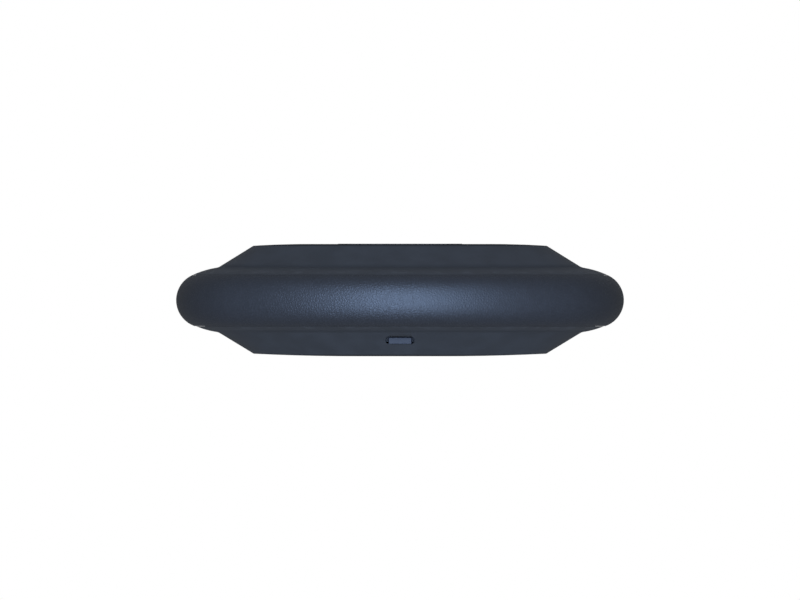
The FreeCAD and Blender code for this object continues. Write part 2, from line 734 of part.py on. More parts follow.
def front_flex():
    points = [(5.5, -21.0, 11.5), (5.5, -17.0, 11.5), (5.5, -17.0, 3.9), (5.5, -12.9, 3.9)]
    return ribbon(points, 0.9, 3.6, 0.2)


def tact_switch():
    body = box((-1.6, 1.6), (BUTTON_Y - 1.6, BUTTON_Y + 1.6), (12.4, 13.9))
    return join([body, rod((0, BUTTON_Y), 0.7, (13.9, BUTTON_LOW_Z - BUTTON_TRAVEL - 0.05))])


def hall_sensor():
    return box((3.0, 5.0), (-24.4, -23.2), (12.4, 13.2))


NODES = {
    "lid_cover": lid_cover,
    "nameplate": nameplate,
    "lid_liner": lid_liner,
    "lid_magnet": lid_magnet,
    "lid_pads": lid_pads,
    "lid_hinge_leaf": lid_hinge_leaf,
    "lid_leaf_screws": lid_leaf_screws,
    "mid_frame": mid_frame,
    "bottom_cover": bottom_cover,
    "rim_gasket": rim_gasket,
    "foot_pad": foot_pad,
    "base_hinge_leaf": base_hinge_leaf,
    "base_leaf_screws": base_leaf_screws,
    "hinge_pin": hinge_pin,
    "hinge_spring": hinge_spring,
    "cradle_deck": cradle_deck,
    "pairing_button": pairing_button,
    "bud_magnets": bud_magnets,
    "base_magnet": base_magnet,
    "contact_housings": contact_housings,
    "left_contact_pins": lambda: contact_pins(-1),
    "right_contact_pins": lambda: contact_pins(1),
    "left_contact_springs": lambda: contact_springs(-1),
    "right_contact_springs": lambda: contact_springs(1),
    "main_board": main_board,
    "board_screws": board_screws,
    "controller_chip": controller_chip,
    "charger_chip": charger_chip,
    "power_inductor": power_inductor,
    "passive_parts": passive_parts,
    "battery_socket": battery_socket,
    "led_chip": led_chip,
    "light_guide": light_guide,
    "battery_cell": battery_cell,
    "battery_pad": battery_pad,
    "battery_leads": battery_leads,
    "usb_board": usb_board,
    "usb_shell": usb_shell,
    "usb_tongue": usb_tongue,
    "usb_contacts": usb_contacts,
    "usb_flex": usb_flex,
    "front_board": front_board,
    "front_flex": front_flex,
    "tact_switch": tact_switch,
    "hall_sensor": hall_sensor,
}


def main():
    os.makedirs("parts", exist_ok=True)
    for name, make in NODES.items():
        make().exportStep(f"parts/{name}.step")


main()
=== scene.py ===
import json
import logging
import math
from abc import ABC, abstractmethod
from collections.abc import Iterable, Sequence
from dataclasses import dataclass, field
from enum import Enum

import bmesh
import bpy
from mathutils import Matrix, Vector


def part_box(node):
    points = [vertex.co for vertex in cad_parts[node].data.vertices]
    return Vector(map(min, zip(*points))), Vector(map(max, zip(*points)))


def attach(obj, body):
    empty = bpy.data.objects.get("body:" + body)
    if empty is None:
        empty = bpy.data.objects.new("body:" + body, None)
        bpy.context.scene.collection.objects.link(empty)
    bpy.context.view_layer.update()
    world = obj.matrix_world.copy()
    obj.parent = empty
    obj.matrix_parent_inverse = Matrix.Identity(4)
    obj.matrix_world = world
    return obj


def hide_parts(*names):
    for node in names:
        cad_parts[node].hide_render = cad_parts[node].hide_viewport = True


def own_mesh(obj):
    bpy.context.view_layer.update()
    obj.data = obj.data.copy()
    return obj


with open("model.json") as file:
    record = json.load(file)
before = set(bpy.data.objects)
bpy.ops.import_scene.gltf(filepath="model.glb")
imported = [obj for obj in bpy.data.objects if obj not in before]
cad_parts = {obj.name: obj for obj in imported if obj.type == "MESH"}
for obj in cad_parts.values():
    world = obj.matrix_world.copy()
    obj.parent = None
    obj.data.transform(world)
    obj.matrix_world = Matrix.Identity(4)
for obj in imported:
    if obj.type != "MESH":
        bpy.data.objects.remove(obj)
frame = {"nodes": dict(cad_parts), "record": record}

# A pocket charging case for wireless earbuds. Metres, +Z up, front towards -Y, as in the frame.
# A place on a swept skin is an inset from the widest outline and a height.

LOG = logging.getLogger("earbuds_case")
MM = 0.001
FINE_STEPS = 24
MIDDLE = (0.3, 0.7)
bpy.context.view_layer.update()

Colour = tuple[float, float, float]
Range = tuple[float, float]
Box = tuple[Range, Range, Range]
Settings = dict[str, object]


# ---------------------------------------------------------------- shader maths
class Signal:
    """A value, vector or colour that varies over a surface: one output of a material's nodes."""

    def __init__(self, recipe: "Recipe", socket: bpy.types.NodeSocket) -> None:
        """Keeps the recipe that the socket belongs to.

        Args:
            recipe: the material being mixed.
            socket: the output socket that carries the value.
        """
        self.recipe = recipe
        self.socket = socket

    def _sum(self, operation: str, *values: "Level") -> "Signal":
        """Adds one Math node.

        Args:
            operation: the Math node's operation.
            values: its inputs, in order.

        Returns:
            The result.
        """
        return self.recipe.node("ShaderNodeMath", {"operation": operation}, dict(enumerate(values)))

    def __add__(self, other: "Level") -> "Signal":
        """This plus other."""
        return self._sum("ADD", self, other)

    def __radd__(self, other: "Level") -> "Signal":
        """Other plus this."""
        return self._sum("ADD", other, self)

    def __sub__(self, other: "Level") -> "Signal":
        """This minus other."""
        return self._sum("SUBTRACT", self, other)

    def __rsub__(self, other: "Level") -> "Signal":
        """Other minus this."""
        return self._sum("SUBTRACT", other, self)

    def __mul__(self, other: "Level") -> "Signal":
        """This times other."""
        return self._sum("MULTIPLY", self, other)

    def __rmul__(self, other: "Level") -> "Signal":
        """Other times this."""
        return self._sum("MULTIPLY", other, self)

    def __truediv__(self, other: "Level") -> "Signal":
        """This divided by other."""
        return self._sum("DIVIDE", self, other)

    def __abs__(self) -> "Signal":
        """This without its sign."""
        return self._sum("ABSOLUTE", self)

    def __mod__(self, other: "Level") -> "Signal":
        """What is left of this after whole steps of other, never negative."""
        return self._sum("FLOORED_MODULO", self, other)

    def larger(self, other: "Level") -> "Signal":
        """The larger of this and other."""
        return self._sum("MAXIMUM", self, other)

    def rise(self, low: float, high: float) -> "Signal":
        """Smooth step of this value.

        Args:
            low: where the result is 0.
            high: where the result is 1.

        Returns:
            A value from 0 to 1.
        """
        inputs = {0: self, 1: low, 2: high, 3: 0.0, 4: 1.0}
        return self.recipe.node("ShaderNodeMapRange", {"interpolation_type": "SMOOTHSTEP"}, inputs)


Level = Signal | float
Shade = Signal | Colour


class Recipe:
    """One procedural material while its nodes are put together."""

    def __init__(self, name: str) -> None:
        """Starts an empty material.

        Args:
            name: the material's name.
        """
        self.material = bpy.data.materials.new(name)
        self.material.use_nodes = True
        self.nodes = self.material.node_tree.nodes
        self.nodes.clear()

    def node(self, kind: str, settings: Settings | None = None, inputs: dict | None = None,
             output: int = 0) -> Signal:
        """Adds any node.

        Args:
            kind: the node's type.
            settings: its settings, set before its sockets.
            inputs: values or signals for its sockets, by name or number.
            output: the number of the output that is returned.

        Returns:
            The chosen output.
        """
        made = self.nodes.new(kind)
        for key, value in (settings or {}).items():
            setattr(made, key, value)
        for key, value in (inputs or {}).items():
            if isinstance(value, Signal):
                self.material.node_tree.links.new(value.socket, made.inputs[key])
            elif isinstance(value, tuple) and made.inputs[key].type == "RGBA":
                made.inputs[key].default_value = (*value, 1.0)
            else:
                made.inputs[key].default_value = value
        return Signal(self, made.outputs[output])

    def place(self, stretch: Colour = (1.0, 1.0, 1.0)) -> Signal:
        """The point on the piece.

        Args:
            stretch: how far it is stretched along each axis.

        Returns:
            The point, in metres before the stretch.
        """
        point = self.node("ShaderNodeTexCoord", output=3)
        return self.node("ShaderNodeVectorMath", {"operation": "MULTIPLY"}, {0: point, 1: stretch})

    def axis(self, number: int) -> Signal:
        """The point's x, y or z on the piece, in metres, for 0, 1 or 2."""
        return self.node("ShaderNodeSeparateXYZ", inputs={0: self.place()}, output=number)

    def clouds(self, size: float, detail: float = 2.0, at: Signal | None = None) -> Signal:
        """Soft random patches.

        Args:
            size: how large the patches are, in metres.
            detail: how many finer layers they carry.
            at: where to read them, or the point on the piece.

        Returns:
            A value round a half.
        """
        inputs = {"Vector": at or self.place(), "Scale": 1.0 / size, "Detail": detail}
        return self.node("ShaderNodeTexNoise", inputs=inputs)

    def cells(self, size: float, at: Signal | None = None, feature: str = "DISTANCE_TO_EDGE") -> Signal:
        """Irregular cells.

        Args:
            size: how large the cells are, in metres.
            at: where to read them, or the point on the piece.
            feature: what the Voronoi texture measures.

        Returns:
            The distance in cell sizes.
        """
        inputs = {"Vector": at or self.place(), "Scale": 1.0 / size}
        return self.node("ShaderNodeTexVoronoi", {"feature": feature}, inputs)

    def warped(self, size: float, reach: float) -> Signal:
        """The point on the piece, pushed about by soft patches.

        Args:
            size: how large the patches are, in metres.
            reach: how far they push, in metres.

        Returns:
            The pushed point.
        """
        inputs = {"Vector": self.place(), "Scale": 1.0 / size, "Detail": 1.0}
        push = self.node("ShaderNodeTexNoise", inputs=inputs, output=1)
        centred = self.node("ShaderNodeVectorMath", {"operation": "SUBTRACT"}, {0: push, 1: (0.5, 0.5, 0.5)})
        inputs = {0: centred, 1: (reach, reach, reach), 2: self.place()}
        return self.node("ShaderNodeVectorMath", {"operation": "MULTIPLY_ADD"}, inputs)

    def blend(self, share: Level, first: Shade, second: Shade) -> Signal:
        """The first colour going over to the second as share goes from 0 to 1."""
        inputs = {0: share, 6: first, 7: second}
        return self.node("ShaderNodeMix", {"data_type": "RGBA"}, inputs, output=2)

    def surface(self, colour: Shade, roughness: Level, height: Signal | None = None, depth: float = 0.0,
                metallic: Level = 0.0, fixed: Settings | None = None) -> bpy.types.Material:
        """Ends the recipe with its shader.

        Args:
            colour: base colour.
            roughness: roughness.
            height: relief from 0 to 1, or none.
            depth: what a height of 1 stands for, in metres.
            metallic: how far the surface is metal.
            fixed: other shader sockets that are the same all over.

        Returns:
            The finished material.
        """
        inputs: dict = {"Base Color": colour, "Roughness": roughness, "Metallic": metallic, **(fixed or {})}
        if height is not None:
            inputs["Normal"] = self.node("ShaderNodeBump", inputs={"Height": height, "Distance": depth})
        shader = self.node("ShaderNodeBsdfPrincipled", inputs=inputs)
        end = self.nodes.new("ShaderNodeOutputMaterial")
        self.material.node_tree.links.new(shader.socket, end.inputs["Surface"])
        return self.material


# ---------------------------------------------------------------- finishes
class Finish(ABC):
    """How one of the case's materials looks."""

    @abstractmethod
    def mix(self, recipe: Recipe) -> bpy.types.Material:
        """Puts the material's nodes together and returns it."""


def scaled(colour: Colour, factor: float) -> Colour:
    """The colour, lighter or darker."""
    return tuple(channel * factor for channel in colour)


@dataclass(frozen=True)
class GrainedSkin(Finish):
    """Soft-touch skin of the belt, with a fine pebbled grain."""

    colour: Colour
    pebble: float = 0.58 * MM
    small_share: float = 0.45
    tooth: float = 0.07 * MM
    swell: float = 1.6 * MM
    warp: Range = (1.1 * MM, 0.35 * MM)
    parts: tuple[float, float, float, float] = (0.62, 0.22, 0.06, 0.30)
    relief: float = 0.038 * MM
    tones: Range = (0.80, 1.12)
    roughness: float = 0.475
    tint: Colour = (0.55, 0.74, 1.0)
    shine: float = 0.75

    def mix(self, recipe: Recipe) -> bpy.types.Material:
        """Pebbles between fine creases, over slow rises and a fine tooth; the tone follows the relief as
        painted shade.

        Args:
            recipe: the material being mixed.

        Returns:
            The finished material.
        """
        at = recipe.warped(*self.warp)
        pebbles = recipe.cells(self.pebble, at).rise(0.02, 0.30)
        small = recipe.cells(self.small_share * self.pebble, at).rise(0.0, 0.35)
        tooth = recipe.clouds(self.tooth, 3.0)
        swell = recipe.clouds(self.swell, 2.0)
        pebble_part, small_part, tooth_part, swell_part = self.parts
        height = pebbles * pebble_part + small * small_part + tooth * tooth_part + swell * swell_part
        dark, light = (scaled(self.colour, factor) for factor in self.tones)
        # Painted shade: darker in the creases between pebbles, lighter on the pebble tops and the rises.
        tone = recipe.blend(pebbles * 0.6 + swell * 0.5, dark, light)
        roughness = self.roughness + 0.10 * (swell - 0.5) - 0.05 * pebbles
        fixed = {"Specular IOR Level": self.shine, "Specular Tint": self.tint}
        return recipe.surface(tone, roughness, height, self.relief, fixed=fixed)


@dataclass(frozen=True)
class Moulding(Finish):
    """Moulded plastic with a spark-eroded texture, slow mottling, lip bands painted lighter for wear and a
    painted highlight, and bands of painted shade at some heights.
    """

    colour: Colour
    roughness: float = 0.5
    texture: float = 0.11 * MM
    relief: float = 0.004 * MM
    patch: float = 4.5 * MM
    mottle: float = 0.10
    # Heights of lip bands painted lighter: patchy wear and a painted highlight.
    wear_highlight_heights: tuple[float, ...] = ()
    rub_width: float = 0.35 * MM
    rub_patch: float = 2.2 * MM
    rub_share: Range = (0.46, 0.66)
    wear_highlight_tone: float = 1.7
    rub: float = 0.5
    # Bands of painted shade, as height, reach and strength: the colour is darkened where little light falls.
    painted_shade_bands: tuple[tuple[float, float, float], ...] = ()
    painted_shade_tone: float = 0.15
    fixed: Settings = field(default_factory=dict)

    def mix(self, recipe: Recipe) -> bpy.types.Material:
        """Fine pits and mottling, lighter in the lip bands of wear and painted highlight, and darker in the
        bands of painted shade.

        Args:
            recipe: the material being mixed.

        Returns:
            The finished material.
        """
        pits = recipe.clouds(self.texture, 3.0)
        patches = recipe.clouds(self.patch, 3.0)
        share = patches.rise(*MIDDLE)
        dark, light = (scaled(self.colour, 1 + sign * self.mottle) for sign in (-1, 1))
        tone: Shade = recipe.blend(share, dark, light)
        roughness: Level = self.roughness + 0.10 * (patches - 0.5) + 0.06 * (pits - 0.5)
        # Lip bands painted lighter and smoother: patchy wear and a painted highlight.
        if self.wear_highlight_heights:
            height = recipe.axis(2)
            wear_highlight: Level = 0.0
            for edge in self.wear_highlight_heights:
                near = 1.0 - abs(height - edge).rise(0.0, self.rub_width)
                wear_highlight = near.larger(wear_highlight)
            wear_highlight = wear_highlight * recipe.clouds(self.rub_patch, 4.0).rise(*self.rub_share) * self.rub
            tone = recipe.blend(wear_highlight, tone, scaled(self.colour, self.wear_highlight_tone))
            roughness = roughness - 0.14 * wear_highlight
        # Bands of painted shade: the colour darkens towards each height, with patchy variation.
        for edge, reach, strength in self.painted_shade_bands:
            near = 1.0 - abs(recipe.axis(2) - edge).rise(0.0, reach)
            painted_shade = near * (strength + 0.4 * (patches - 0.5))
            tone = recipe.blend(painted_shade, tone, scaled(self.colour, self.painted_shade_tone))
            roughness = roughness + 0.15 * near
        return recipe.surface(tone, roughness, pits, self.relief, fixed=self.fixed)


class Grain(Enum):
    """Which way a metal's fine marks run, as a stretch of each axis."""

    EVEN = (1.0, 1.0, 1.0)
    ALONG_X = (0.04, 1.0, 1.0)
    ALONG_Y = (1.0, 0.04, 1.0)


@dataclass(frozen=True)
class Metal(Finish):
    """Bare, plated or coated metal with fine marks, smudges and a few scratches."""

    colour: Colour
    roughness: float = 0.3
    grain: Grain = Grain.EVEN
    mark: float = 0.06 * MM
    smudge: float = 1.8 * MM
    scratch: float = 1.5 * MM
    tones: Range = (0.84, 1.06)
    relief: float = 0.0015 * MM

    def mix(self, recipe: Recipe) -> bpy.types.Material:
        """Fine marks along the grain over cloudy smudges.

        Args:
            recipe: the material being mixed.

        Returns:
            The finished material.
        """
        marks = recipe.clouds(self.mark, 3.0, recipe.place(self.grain.value))
        smudges = recipe.clouds(self.smudge, 3.0)
        scratches = recipe.cells(self.scratch, recipe.place(self.grain.value)).rise(0.0, 0.02)
        dark, light = (scaled(self.colour, factor) for factor in self.tones)
        tone = recipe.blend(smudges.rise(*MIDDLE), dark, light)
        roughness = self.roughness + 0.22 * (smudges - 0.5) + 0.14 * (marks - 0.5)
        return recipe.surface(tone, roughness, marks * 0.8 + scratches * 0.2, self.relief, metallic=1.0)


@dataclass(frozen=True)
class Rubber(Finish):
    """Silicone or foot rubber: dull, with a dusty bloom and a fine moulded tooth."""

    colour: Colour
    roughness: float = 0.72
    tooth: float = 0.09 * MM
    relief: float = 0.006 * MM
    bloom_patch: float = 1.3 * MM
    bloom_tone: float = 2.2
    bloom: float = 0.35
    speck: float = 0.9 * MM
    lint: Colour = (0.22, 0.21, 0.20)

    def mix(self, recipe: Recipe) -> bpy.types.Material:
        """A fine tooth under patches of bloom and specks of lint.

        Args:
            recipe: the material being mixed.

        Returns:
            The finished material.
        """
        tooth = recipe.clouds(self.tooth, 4.0)
        bloom = recipe.clouds(self.bloom_patch, 4.0).rise(0.42, 0.72)
        specks = 1.0 - recipe.cells(self.speck, feature="F1").rise(0.02, 0.06)
        tone = recipe.blend(bloom * self.bloom, self.colour, scaled(self.colour, self.bloom_tone))
        tone = recipe.blend(specks * 0.25, tone, self.lint)
        return recipe.surface(tone, self.roughness + 0.12 * bloom, tooth, self.relief)


@dataclass(frozen=True)
class SolderMask(Finish):
    """Circuit board: lacquer over copper tracks, with a bare laminate edge."""

    lacquer: Colour = (0.010, 0.055, 0.030)
    copper: Colour = (0.028, 0.115, 0.050)
    gold: Colour = (0.62, 0.45, 0.22)
    pitch: float = 0.9 * MM
    track: Range = (0.16, 0.20)
    patch: float = 5.0 * MM
    via: float = 1.7 * MM
    haze: float = 3.0 * MM
    weave: float = 0.15 * MM
    relief: float = 0.02 * MM

    def mix(self, recipe: Recipe) -> bpy.types.Material:
        """Tracks that run along X or Y from patch to patch, and small round vias.

        Args:
            recipe: the material being mixed.

        Returns:
            The finished material.
        """
        sideways = recipe.clouds(self.patch, 0.0).rise(0.49, 0.51)
        across = abs((recipe.axis(0) % self.pitch) / self.pitch - 0.5).rise(*self.track)
        along = abs((recipe.axis(1) % self.pitch) / self.pitch - 0.5).rise(*self.track)
        tracks = across * sideways + along * (1.0 - sideways)
        vias = 1.0 - recipe.cells(self.via, feature="F1").rise(0.09, 0.12)
        tone = recipe.blend(tracks, self.lacquer, self.copper)
        tone = recipe.blend(vias, tone, self.gold)
        haze = recipe.clouds(self.haze, 3.0)
        weave = recipe.clouds(self.weave, 1.0)
        roughness = 0.30 + 0.2 * (haze - 0.5)
        return recipe.surface(tone, roughness, tracks * 0.8 + weave * 0.2, self.relief)


@dataclass(frozen=True)
class Film(Finish):
    """Thin amber film with copper conductors that run along Y."""

    film: Colour = (0.30, 0.115, 0.018)
    copper: Colour = (0.50, 0.20, 0.08)
    pitch: float = 0.5 * MM
    edge: Range = (0.12, 0.18)
    ripple: float = 0.8 * MM
    relief: float = 0.02 * MM
    roughness: float = 0.28

    def mix(self, recipe: Recipe) -> bpy.types.Material:
        """Conductors under a glossy, slightly rippled film.

        Args:
            recipe: the material being mixed.

        Returns:
            The finished material.
        """
        lines = abs((recipe.axis(0) % self.pitch) / self.pitch - 0.5).rise(*self.edge)
        ripple = recipe.clouds(self.ripple, 3.0)
        tone = recipe.blend(lines, self.copper, self.film)
        height = ripple * 0.6 + lines * 0.2
        return recipe.surface(tone, self.roughness + 0.2 * (ripple - 0.5), height, self.relief)


@dataclass(frozen=True)
class Foil(Finish):
    """Laminated foil of the cell: silvery grey, softly crinkled."""

    colour: Colour = (0.46, 0.47, 0.49)
    crease_tone: float = 0.85
    crinkle: float = 2.6 * MM
    warp: Range = (2.0 * MM, 1.2 * MM)
    scuff: float = 0.9 * MM
    relief: float = 0.05 * MM
    roughness: float = 0.36
    metallic: float = 0.85

    def mix(self, recipe: Recipe) -> bpy.types.Material:
        """Broad crinkles with scuffs.

        Args:
            recipe: the material being mixed.

        Returns:
            The finished material.
        """
        crinkle = recipe.cells(self.crinkle, recipe.warped(*self.warp)).rise(0.0, 0.5)
        scuffs = recipe.clouds(self.scuff, 4.0)
        tone = recipe.blend(scuffs.rise(*MIDDLE), scaled(self.colour, self.crease_tone), self.colour)
        roughness = self.roughness + 0.25 * (scuffs - 0.5)
        height = crinkle * 0.8 + scuffs * 0.2
        return recipe.surface(tone, roughness, height, self.relief, metallic=self.metallic)


@dataclass(frozen=True)
class Foam(Finish):
    """Open-celled foam pad."""

    colour: Colour = (0.035, 0.036, 0.040)
    tones: Range = (1.9, 0.5)
    pore: float = 0.45 * MM
    warp: Range = (0.5 * MM, 0.2 * MM)
    dust: float = 1.5 * MM
    relief: float = 0.10 * MM
    roughness: float = 0.86

    def mix(self, recipe: Recipe) -> bpy.types.Material:
        """Pores with painted shade in a matte skeleton.

        Args:
            recipe: the material being mixed.

        Returns:
            The finished material.
        """
        pores = recipe.cells(self.pore, recipe.warped(*self.warp)).rise(0.0, 0.35)
        dust = recipe.clouds(self.dust, 3.0)
        light, dark = (scaled(self.colour, factor) for factor in self.tones)
        # Painted shade: the pore hollows are darker and the skeleton between them lighter.
        tone = recipe.blend(pores, light, dark)
        return recipe.surface(tone, self.roughness + 0.1 * (dust - 0.5), 1.0 - pores, self.relief)


@dataclass(frozen=True)
class Frosted(Finish):
    """Milky light guide: pale blue-grey, satin, with faint flow lines."""

    colour: Colour
    roughness: float = 0.38
    tint: Colour = (0.70, 0.85, 1.0)
    shine: float = 0.22
    tones: Range = (0.88, 1.08)
    milk: float = 0.9 * MM
    flow: tuple[float, float, float] = (0.3, 1.0, 1.0)
    tooth: float = 0.08 * MM
    relief: float = 0.004 * MM

    def mix(self, recipe: Recipe) -> bpy.types.Material:
        """Cloudy body under a fine frosted tooth.

        Args:
            recipe: the material being mixed.

        Returns:
            The finished material.
        """
        milk = recipe.clouds(self.milk, 2.0, recipe.place(self.flow))
        tooth = recipe.clouds(self.tooth, 2.0)
        dark, light = (scaled(self.colour, factor) for factor in self.tones)
        tone = recipe.blend(milk.rise(*MIDDLE), dark, light)
        fixed = {"Specular Tint": self.tint, "Specular IOR Level": self.shine}
        return recipe.surface(tone, self.roughness + 0.1 * (milk - 0.5), tooth, self.relief, fixed=fixed)


@dataclass(frozen=True)
class LeadSleeve(Finish):
    """Sleeves of the cell's two leads, one red and one black."""

    red: Colour = (0.42, 0.018, 0.014)
    black: Colour = (0.014, 0.014, 0.015)
    grey: Colour = (0.3, 0.3, 0.3)
    split_x: float = -6.5 * MM
    split_soft: float = 0.1 * MM
    smudge: float = 1.1 * MM
    tooth: float = 0.2 * MM
    relief: float = 0.004 * MM
    roughness: float = 0.42

    def mix(self, recipe: Recipe) -> bpy.types.Material:
        """The colour changes halfway between the leads, under a faint extruded streak.

        Args:
            recipe: the material being mixed.

        Returns:
            The finished material.
        """
        second = recipe.axis(0).rise(self.split_x - self.split_soft, self.split_x + self.split_soft)
        smudge = recipe.clouds(self.smudge, 3.0)
        tone = recipe.blend(second, self.red, self.black)
        tone = recipe.blend(smudge.rise(0.5, 0.8) * 0.12, tone, self.grey)
        tooth = recipe.clouds(self.tooth, 2.0)
        return recipe.surface(tone, self.roughness + 0.2 * (smudge - 0.5), tooth, self.relief)


# Heights of the lip bands painted lighter: wear on the lips and a painted highlight where they catch the
# light.
COVER_LIP_WEAR_HIGHLIGHTS = (17.9 * MM, 6.05 * MM)
# Bands of painted shade as height, reach and strength: the two creases, and the whole top and bottom faces,
# where little light falls.
COVER_SHADE_BANDS = (
    (19.05 * MM, 0.85 * MM, 0.30),
    (5.30 * MM, 0.45 * MM, 0.10),
    (23.95 * MM, 0.62 * MM, 1.3),
    (0.0, 0.50 * MM, 1.2),
)
FINISHES: dict[str, Finish] = {
    "cover_shell": Moulding((0.0300, 0.0350, 0.0430), 0.50, wear_highlight_heights=COVER_LIP_WEAR_HIGHLIGHTS, rub=0.40, painted_shade_bands=COVER_SHADE_BANDS,
                            fixed={"Specular Tint": (0.70, 0.84, 1.0)}),
    "belt_shell": GrainedSkin((0.0215, 0.0235, 0.0290)),
    "badge": Moulding((0.022, 0.025, 0.031), 0.30, relief=0.002 * MM),
    "inner_plastic": Moulding((0.016, 0.018, 0.022), 0.40, texture=0.16 * MM, mottle=0.12),
    "button_plastic": Moulding((0.050, 0.056, 0.066), 0.36, mottle=0.08),
    "soft_rubber": Rubber((0.011, 0.012, 0.013)),
    "foot_rubber": Rubber((0.020, 0.021, 0.023), 0.82, 0.5),
    "hinge_steel": Metal((0.30, 0.31, 0.34), 0.34, Grain.ALONG_X),
    "pin_steel": Metal((0.58, 0.58, 0.59), 0.20, Grain.ALONG_X),
    "spring_steel": Metal((0.44, 0.43, 0.42), 0.30, Grain.EVEN),
    "screw_steel": Metal((0.24, 0.24, 0.25), 0.34, Grain.EVEN),
    "magnet_plate": Metal((0.60, 0.59, 0.56), 0.22, Grain.EVEN),
    "contact_sleeve": Moulding((0.018, 0.018, 0.020), 0.48),
    "contact_gold": Metal((0.88, 0.62, 0.25), 0.18, Grain.EVEN),
    "board_laminate": SolderMask(),
    "chip_epoxy": Moulding((0.012, 0.012, 0.013), 0.58, relief=0.008 * MM),
    "socket_plastic": Moulding((0.52, 0.49, 0.42), 0.46, mottle=0.06),
    "port_steel": Metal((0.52, 0.53, 0.55), 0.26, Grain.ALONG_Y),
    "lamp_lens": Moulding((0.62, 0.58, 0.30), 0.22, mottle=0.05),
    "guide_plastic": Frosted((0.020, 0.025, 0.042)),
    "cell_foil": Foil(),
    "foam_pad": Foam(),
    "lead_sleeve": LeadSleeve(),
    "flex_film": Film(),
}


class Paintshop:
    """Mixes each finish once and puts it on the pieces."""

    def __init__(self) -> None:
        """Reads which slot each frame node belongs to."""
        self.mixed: dict[str, bpy.types.Material] = {}
        self.slots = {row["node"]: row["material_slot"] for row in frame["record"]["subparts"]}
        self.bodies = {
            node: body
            for body, nodes in frame["record"]["behaviour"]["bodies"].items()
            for node in nodes
        }
        self.replaced: set[str] = set()

    def material(self, slot: str) -> bpy.types.Material:
        """Finds the material of a slot, mixed the first time that it is asked for.

        Args:
            slot: the record's material slot.

        Returns:
            The material.
        """
        if slot not in self.mixed:
            self.mixed[slot] = FINISHES[slot].mix(Recipe(slot))
        return self.mixed[slot]

    def dress(self, piece: bpy.types.Object, node: str) -> bpy.types.Object:
        """Finishes a piece that stands for a frame node, and lets it ride where the node does.

        Args:
            piece: the piece.
            node: the frame node that it stands for.

        Returns:
            The same piece.
        """
        piece.data.materials.clear()
        piece.data.materials.append(self.material(self.slots[node]))
        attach(piece, self.bodies[node])
        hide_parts(node)
        self.replaced.add(node)
        LOG.info("%s rides on %s in %s", piece.name, self.bodies[node], self.slots[node])
        return piece

    def carry(self) -> None:
        """Finishes every frame node that no piece stands for."""
        for node, slot in self.slots.items():
            if node not in self.replaced:
                mesh = frame["nodes"][node].data
                mesh.materials.clear()
                mesh.materials.append(self.material(slot))
                LOG.info("%s is carried over in %s", node, slot)


# ---------------------------------------------------------------- mesh making
def new_piece(name: str, points: Sequence[Vector], faces: Sequence[Sequence[int]]) -> bpy.types.Object:
    """Makes an object from points and faces, with its faces turned outwards.

    Args:
        name: the object's name.
        points: its corners, in metres.
        faces: its faces, as numbers of corners.

    Returns:
        The object, linked to the scene.
    """
    mesh = bpy.data.meshes.new(name)
    mesh.from_pydata([tuple(point) for point in points], [], [tuple(face) for face in faces])
    work = bmesh.new()
    work.from_mesh(mesh)
    bmesh.ops.recalc_face_normals(work, faces=work.faces)
    work.to_mesh(mesh)
    work.free()
    piece = bpy.data.objects.new(name, mesh)
    bpy.context.scene.collection.objects.link(piece)
    return piece


def settle(piece: bpy.types.Object) -> None:
    """Turns a piece's modifiers into its own mesh.

    Args:
        piece: the piece that is worked on.
    """
    graph = bpy.context.evaluated_depsgraph_get()
    result = bpy.data.meshes.new_from_object(piece.evaluated_get(graph))
    rough = piece.data
    piece.modifiers.clear()
    piece.data = result
    bpy.data.meshes.remove(rough)
    result.name = piece.name


def combine(
    piece: bpy.types.Object, tools: Iterable[bpy.types.Object], operation: str = "DIFFERENCE"
) -> None:
    """Cuts tools out of a piece, or joins them to it, and throws the tools away.

    Args:
        piece: the piece that is worked on.
        tools: closed shapes.
        operation: DIFFERENCE or UNION.
    """
    for tool in tools:
        step = piece.modifiers.new("combine", "BOOLEAN")
        step.operation = operation
        step.solver = "EXACT"
        step.object = tool
        settle(piece)
        bpy.data.objects.remove(tool)


def ease(piece: bpy.types.Object, width: float, steps: int = 2, limit: float = 38.0) -> None:
    """Rounds a piece's sharp edges.

    Args:
        piece: the piece that is worked on.
        width: how far the rounding reaches from each edge, in metres.
        steps: how many facets each rounding has.
        limit: the least angle of an edge that is rounded, in degrees.
    """
    bevel = piece.modifiers.new("ease", "BEVEL")
    bevel.width = width
    bevel.segments = steps
    bevel.limit_method = "ANGLE"
    bevel.angle_limit = math.radians(limit)
    bevel.miter_outer = "MITER_ARC"
    settle(piece)


def smooth(piece: bpy.types.Object, limit: float = 34.0) -> None:
    """Shades a piece smoothly, with its large flat faces kept flat.

    Args:
        piece: the piece that is worked on.
        limit: the angle in degrees from which an edge stays sharp.
    """
    for polygon in piece.data.polygons:
        polygon.use_smooth = True
    piece.data.set_sharp_from_angle(angle=math.radians(limit))
    even = piece.modifiers.new("even", "WEIGHTED_NORMAL")
    even.mode = "FACE_AREA"
    even.weight = 100
    even.keep_sharp = True
    settle(piece)


